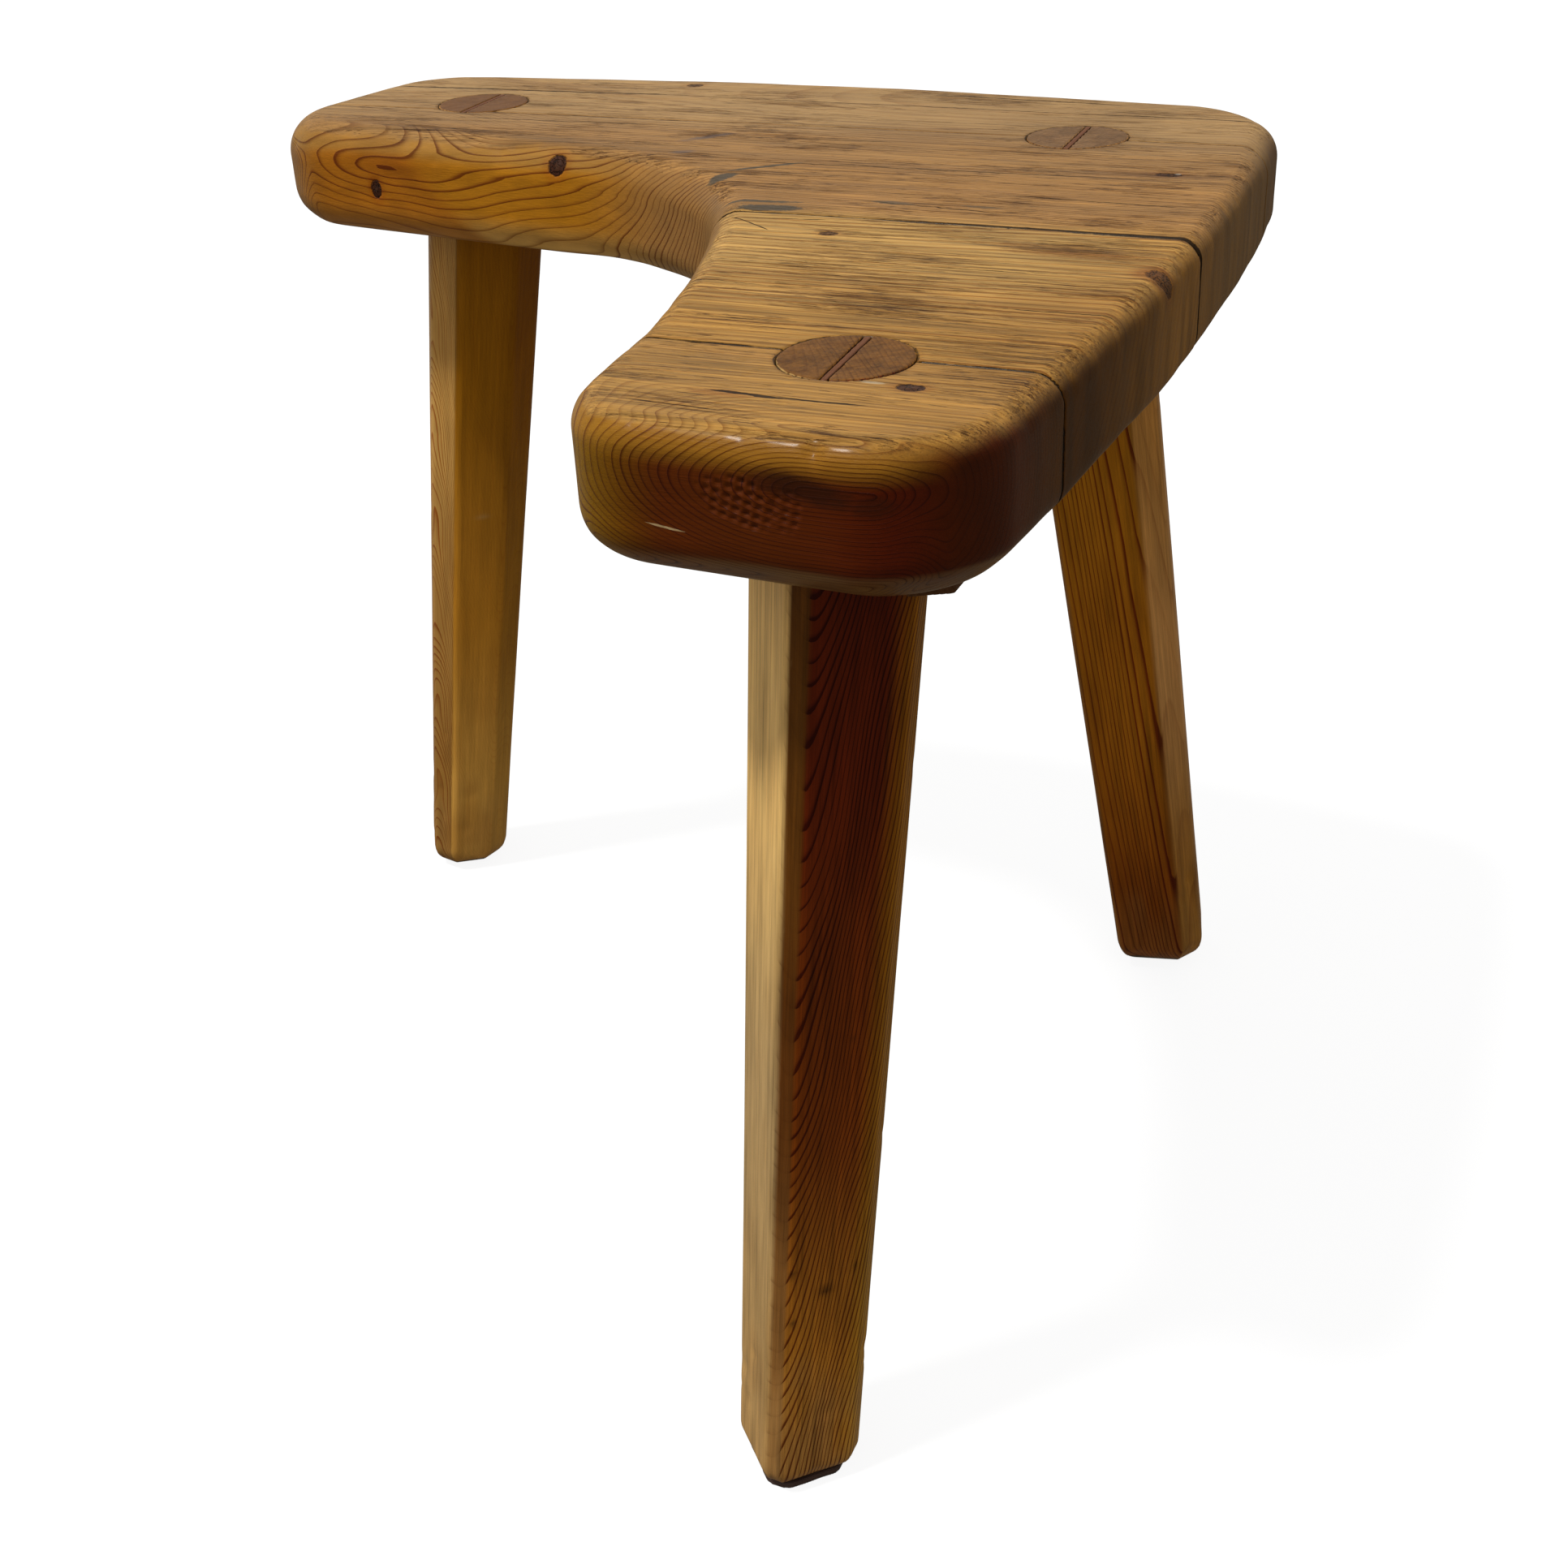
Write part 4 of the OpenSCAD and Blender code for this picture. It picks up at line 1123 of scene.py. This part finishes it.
# ------------------------------------------------------------------ build the stool
def seat_pieces():
    out = []
    spec = [
        ("seat_board_back", JOINTS[0], None, ring_back, 1.3, None, ("leg_left", "leg_corner"),
         dict(late=0.45, weather=0.9, late_top=0.8, marks=marks_back, seed=1.7, rough=0.42, streak=0.9,
              joints=((JOINTS[0], 0.34, 0, 0),))),
        ("seat_board_mid_back", JOINTS[1], JOINTS[0], ring_mid_back, 1.25, None, ("leg_left", "leg_corner"),
         dict(late=1.35, weather=1.35, late_top=0.55, marks=marks_mid_back, seed=3.1, rough=0.40, late_lo=0.44, streak=2.0,
              late_col=(0.40, 0.25, 0.12),
              joints=((JOINTS[0], 0.34, 0, 0), (JOINTS[1], 0.60, 110, 0.6)))),
        ("seat_board_mid_front", JOINTS[2], JOINTS[1], ring_mid_front, 1.2, open_joint, ("leg_front",),
         dict(late=1.3, weather=1.1, late_top=0.9, marks=marks_mid_front, seed=5.9, rough=0.40, late_col=(0.56, 0.42, 0.26),
              streak=2.6, joints=((JOINTS[1], 0.60, 110, 0.6), (JOINTS[2], 0.58, 0, 0)))),
        ("seat_board_front", None, JOINTS[2], ring_front, 0.85, None, ("leg_front",),
         dict(late=1.25, weather=1.1, late_top=0.5, marks=marks_front, seed=8.3, rough=0.34, streak=2.3, coat=0.08,
              late_col=(0.42, 0.26, 0.12),
              joints=((JOINTS[2], 0.58, 0, 0),))),
    ]
    for k, (name, y0, y1, ring, h, gap, legs, kw) in enumerate(spec):
        o = build_board(name, y0, y1, ring, h, gap, legs, seed=k * 7)
        o.data.materials.append(pine("pine_" + name, bores=legs, **kw))
        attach(o, "root")
        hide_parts(name)
        out.append(o)
    return out


def leg_pieces():
    for name, kw in (("leg_left", dict(late=1.5, fibre=0.12, blotch=0.18, grain=0.40, seed=12.1, rough=0.42, late_col=(0.60, 0.33, 0.13))),
                     ("leg_corner", dict(late=1.9, fibre=0.20, grain=0.85, seed=14.7, rough=0.40, late_col=(0.38, 0.17, 0.06))),
                     ("leg_front", dict(late=1.9, fibre=0.22, grain=0.95, seed=17.9, rough=0.36, late_col=(0.30, 0.16, 0.08)))):
        o = build_leg(name)
        o.data.materials.append(pine("pine_" + name, end_axis=2, ring_wave=0.12, **kw))
        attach(o, "root")
        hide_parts(name)


def simple_attrs(v, n, tone, grain=0):
    gco = v if grain == 0 else np.stack([v[:, 1], v[:, 0], v[:, 2]], 1) if grain == 1 else np.stack([v[:, 2], v[:, 0], v[:, 1]], 1)
    return dict(ring=v[:, 0] / 2.3 + v[:, 2] / 5.0, gco=gco, tone=np.tile(tone, (len(v), 1)), knot=np.full(len(v), 9.0),
                kdark=np.zeros(len(v)), nrm=n, body=np.ones(len(v)), top=np.zeros(len(v)), lmul=np.ones(len(v)))


def wedges():
    mat = pine("wedge_hardwood", late=0.4, late_col=(0.5, 0.4, 0.3), fibre=0.3, rough=0.45, end_axis=2, seed=23.0)
    for name, leg in (("wedge_left", "leg_left"), ("wedge_corner", "leg_corner"), ("wedge_front", "leg_front")):
        g = LEGS[leg]

        def f(p, g=g):
            R, w = axis_distance(g, p)
            x, y, h = wedge_coords(g, w)
            half = 0.4 + np.clip((h + 34) / 39, 0, 1) - 0.28
            r = np.maximum(np.abs(x) - half, -33.5 - h)
            r = rmax(r, R - TENON_R + 0.15, 0.2)
            return rmax(r, p[:, 2] - SEAT_H + 0.12, 0.2)
        c = np.array([*g["top"], SEAT_H])
        lo, hi = c - (27, 24, 36), c + (27, 24, 2)
        # a thin piece, so the grid follows the wedge's plane
        up = -g["dir"]
        a = math.radians(3)
        x0 = np.array([math.cos(a), math.sin(a), 0])
        ex = unit(x0 - (x0 @ up) * up)
        ey = np.cross(up, ex)
        B = np.stack([ex, ey, up])
        fl = lambda q: f(q @ B + c)
        xs, ys, zs = np.arange(-2.4, 2.41, 0.3), np.arange(-22.5, 22.6, 0.9), np.concatenate([np.arange(-36, -6, 1.6), np.arange(-6, 6, 0.6)])
        v, q = nets(grid_eval(fl, xs, ys, zs), xs, ys, zs)
        v = v @ B + c
        v, n = settle(f, v, 0.4)
        o = make_mesh(name + "_worn", v, q, simple_attrs(v, n, lin(112, 70, 44), 2))
        o.data.materials.append(mat)
        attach(o, "root")
        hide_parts(name)


def batten():
    x0, x1 = 42.5 - MID[0], 55.5 - MID[0]
    ya, yb, ye = -322 - MID[1], -315 - MID[1], 50 - MID[1]
    z1, z0 = LOW, LOW - 12.5
    slope = (yb - ya) / (x1 - x0)

    def f(p):
        x, y, z = p.T
        a = rmax(x - x1, x0 - x, 0.1)
        b = rmax(z - z1 + 0.02, z0 - z, 0.1)
        e = rmax(y - ye, (ya + (x - x0) * slope - y) * 0.88, 0.1)
        r = rmax(rmax(a, b, 0.8), e, 0.8)
        for sy in (-304, -216, -72, 26):
            d = np.hypot(x - (49 - MID[0]), y - (sy - MID[1]))
            r = rmax(r, (4.05 - (z - z0) * 0.83) - d, 0.1)
            r = np.maximum(r, 2.05 - d)
        return r
    xs, zs = np.arange(x0 - 1.5, x1 + 1.6, 0.7), np.arange(z0 - 1.5, z1 + 1.6, 0.7)
    ys = np.arange(ya - 2, ye + 2, 0.9)
    v, q = nets(grid_eval(f, xs, ys, zs), xs, ys, zs)
    v, n = settle(f, v, 0.7)
    w = sstep(-0.97, -0.5, n[:, 2] * -1) * (v[:, 2] < z1 - 0.5)
    v = v + n * ((-0.08 - 0.10 * vnoise(v, (3, 40, 3), 61) - 0.06 * vnoise(v, (1.5, 9, 1.5), 62)) * (v[:, 2] < z1 - 0.5))[:, None]
    o = make_mesh("underside_batten_worn", v, q, simple_attrs(v, n, lin(92, 62, 38), 1))
    o.data.materials.append(pine("batten_dark_pine", late=0.5, fibre=0.35, blotch=0.4, rough=0.62, coat=0.0, seed=27.0, end_axis=1))
    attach(o, "root")
    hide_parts("underside_batten")


def screws():
    g = Graph("old_screw_steel")
    tc = g.t.nodes.new("ShaderNodeTexCoord")
    P = S(g, tc.outputs["Object"])
    n1 = g.noise(P, (900, 900, 900), 4.0, 0.6)
    n2 = g.noise(P, (240, 240, 240), 3.0, 0.6)
    rust = g.step(0.47, 0.62, n2)
    col = g.mixc(rust, g.mixc(n1, (0.22, 0.20, 0.18), (0.36, 0.34, 0.31)), g.mixc(n1, (0.10, 0.035, 0.012), (0.20, 0.075, 0.022)))
    rgh = rust * 0.4 + n1 * 0.15 + 0.32
    nrm = g.bump(n1 + rust * 0.5, 0.0001, 0.6)
    mat = g.finish(col, rgh, nrm, Metallic=0.75)
    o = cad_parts["batten_screws"]
    o.data.materials.clear()
    o.data.materials.append(mat)


def foot_pad():
    g = LEGS["leg_front"]
    f3, local = leg_field(g)
    zt = 2.5

    def f(p):
        q = p.copy()
        q[:, 2] = 60.0
        a, b = local(p)
        w = g["w"] / 2 * leg_scale(g, 2.5) - 3.5
        r = None
        for k in range(4):
            t = math.radians(90 * k)
            e = a * math.cos(t) + b * math.sin(t) - w
            r = e if r is None else rmax(r, e, 1.5)
            t += math.pi / 4
            c = g["ch"][k] * 0.78
            r = rmax(r, a * math.cos(t) + b * math.sin(t) - (2 * w - c) / math.sqrt(2), 1.5)
        r = r + 0.35 * np.sin(np.arctan2(b, a) * 7) * 0.4
        return rmax(rmax(r, -p[:, 2], 0.5), p[:, 2] - zt, 0.3)
    c = leg_mid(g, 2.5)
    xs = np.arange(c[0] - 22, c[0] + 22, 0.8)
    ys = np.arange(c[1] - 22, c[1] + 22, 0.8)
    zs = np.arange(-0.75, 3.6, 0.35)
    v, q = nets(grid_eval(f, xs, ys, zs), xs, ys, zs)
    v, n = settle(f, v, 0.4)
    side = 1 - np.abs(n[:, 2])
    v = v + n * (0.12 * vnoise(v, (2.2, 2.2, 1.2), 71) * side)[:, None]
    v[:, 2] = np.maximum(v[:, 2], 0)
    o = make_mesh("foot_pad_leather", v, q, {})
    m = Graph("pad_leather")
    tc = m.t.nodes.new("ShaderNodeTexCoord")
    P = S(m, tc.outputs["Object"])
    vo = m.voronoi(P, (900, 900, 900), "DISTANCE_TO_EDGE")
    n1 = m.noise(P, (300, 300, 300), 4.0, 0.6)
    lay = m.noise(P, (60, 60, 2600), 3.0, 0.6)
    col = m.mixc(n1, (0.020, 0.008, 0.006), (0.075, 0.032, 0.022))
    col = m.mixc(m.step(0.5, 0.7, lay) * 0.5, col, (0.12, 0.07, 0.05))
    nrm = m.bump(m.step(0.0, 0.12, vo) * 0.6 + lay * 0.8 + n1, 0.00025, 0.8)
    o.data.materials.append(m.finish(col, n1 * 0.25 + 0.55, nrm))
    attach(o, "root")
    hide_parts("foot_pad")


# ------------------------------------------------------------------ camera, floor, light
def camera():
    yaw, pitch, roll = math.radians(-24.776), math.radians(30.101), math.radians(-2.949)
    fwd = Vector((math.sin(yaw) * math.cos(pitch), math.cos(yaw) * math.cos(pitch), -math.sin(pitch)))
    right = Vector((math.cos(yaw), -math.sin(yaw), 0))
    up = right.cross(fwd)
    r2 = right * math.cos(roll) + up * math.sin(roll)
    u2 = -right * math.sin(roll) + up * math.cos(roll)
    cam = bpy.data.cameras.new("camera")
    cam.sensor_width = 36
    cam.lens = 45.372
    cam.clip_start = 0.02
    o = bpy.data.objects.new("camera", cam)
    bpy.context.scene.collection.objects.link(o)
    M = Matrix((r2, u2, -fwd)).transposed().to_4x4()
    M.translation = Vector((0.37628, -0.68012, 0.59946))
    o.matrix_world = M
    bpy.context.scene.camera = o


def stage():
    me = bpy.data.meshes.new("floor")
    s, n = 9.0, 12
    vs = [(-s + 2 * s * i / n, -s + 2 * s * j / n, 0) for j in range(n + 1) for i in range(n + 1)]
    fs = [(j * (n + 1) + i, j * (n + 1) + i + 1, (j + 1) * (n + 1) + i + 1, (j + 1) * (n + 1) + i) for j in range(n) for i in range(n)]
    me.from_pydata(vs, [], fs)
    o = bpy.data.objects.new("floor", me)
    bpy.context.scene.collection.objects.link(o)
    g = Graph("floor_pale")
    me.materials.append(g.finish((0.16, 0.16, 0.16), 0.9, None, Specular_IOR_Level=0.1, Emission_Color=(1, 1, 1, 1), Emission_Strength=0.90))
    o.visible_diffuse = False          # keeps the white floor from filling the shaded faces
    o.visible_glossy = False
    o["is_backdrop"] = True

    w = bpy.data.worlds.new("studio")
    bpy.context.scene.world = w
    w.use_nodes = True
    t = w.node_tree
    t.nodes.clear()
    tc = t.nodes.new("ShaderNodeTexCoord")
    sp = t.nodes.new("ShaderNodeSeparateXYZ")
    mr = t.nodes.new("ShaderNodeMapRange")
    mr.inputs["From Min"].default_value = -0.35
    mr.inputs["From Max"].default_value = 0.55
    mr.interpolation_type = "SMOOTHSTEP"
    ramp = t.nodes.new("ShaderNodeMix")
    ramp.data_type = "RGBA"
    ramp.inputs[6].default_value = (0.20, 0.170, 0.130, 1)
    ramp.inputs[7].default_value = (0.52, 0.52, 0.52, 1)
    bg = t.nodes.new("ShaderNodeBackground")
    out = t.nodes.new("ShaderNodeOutputWorld")
    t.links.new(tc.outputs["Generated"], sp.inputs[0])
    side = t.nodes.new("ShaderNodeMath")
    side.operation = "MULTIPLY_ADD"
    t.links.new(sp.outputs["X"], side.inputs[0])
    side.inputs[1].default_value = -0.30
    t.links.new(sp.outputs["Z"], side.inputs[2])
    t.links.new(side.outputs[0], mr.inputs["Value"])
    t.links.new(mr.outputs[0], ramp.inputs[0])
    t.links.new(ramp.outputs[2], bg.inputs["Color"])
    bg.inputs["Strength"].default_value = 1.0
    t.links.new(bg.outputs[0], out.inputs[0])

    def sun(name, az, el, strength, angle, col=(1, 1, 1)):
        L = bpy.data.lights.new(name, "SUN")
        L.energy, L.angle, L.color = strength, math.radians(angle), col
        ob = bpy.data.objects.new(name, L)
        bpy.context.scene.collection.objects.link(ob)
        a, e = math.radians(az), math.radians(el)
        d = Vector((math.cos(a) * math.cos(e), math.sin(a) * math.cos(e), math.sin(e)))
        ob.rotation_euler = d.to_track_quat("Z", "Y").to_euler()
    sun("key", -139, 64, 2.35, 8, (1.0, 0.985, 0.96))
    sc = bpy.context.scene
    sc.view_settings.view_transform = "Standard"
    sc.view_settings.look = "None"


camera()
stage()
seat_pieces()
leg_pieces()
wedges()
batten()
screws()
foot_pad()

bpy.context.view_layer.update()


def plain(b):
    return [[float(c) for c in corner] for corner in b] if hasattr(b[0], "__len__") else [float(c) for c in b]


{"cad": plain(cad_box), "visual": plain(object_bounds())}
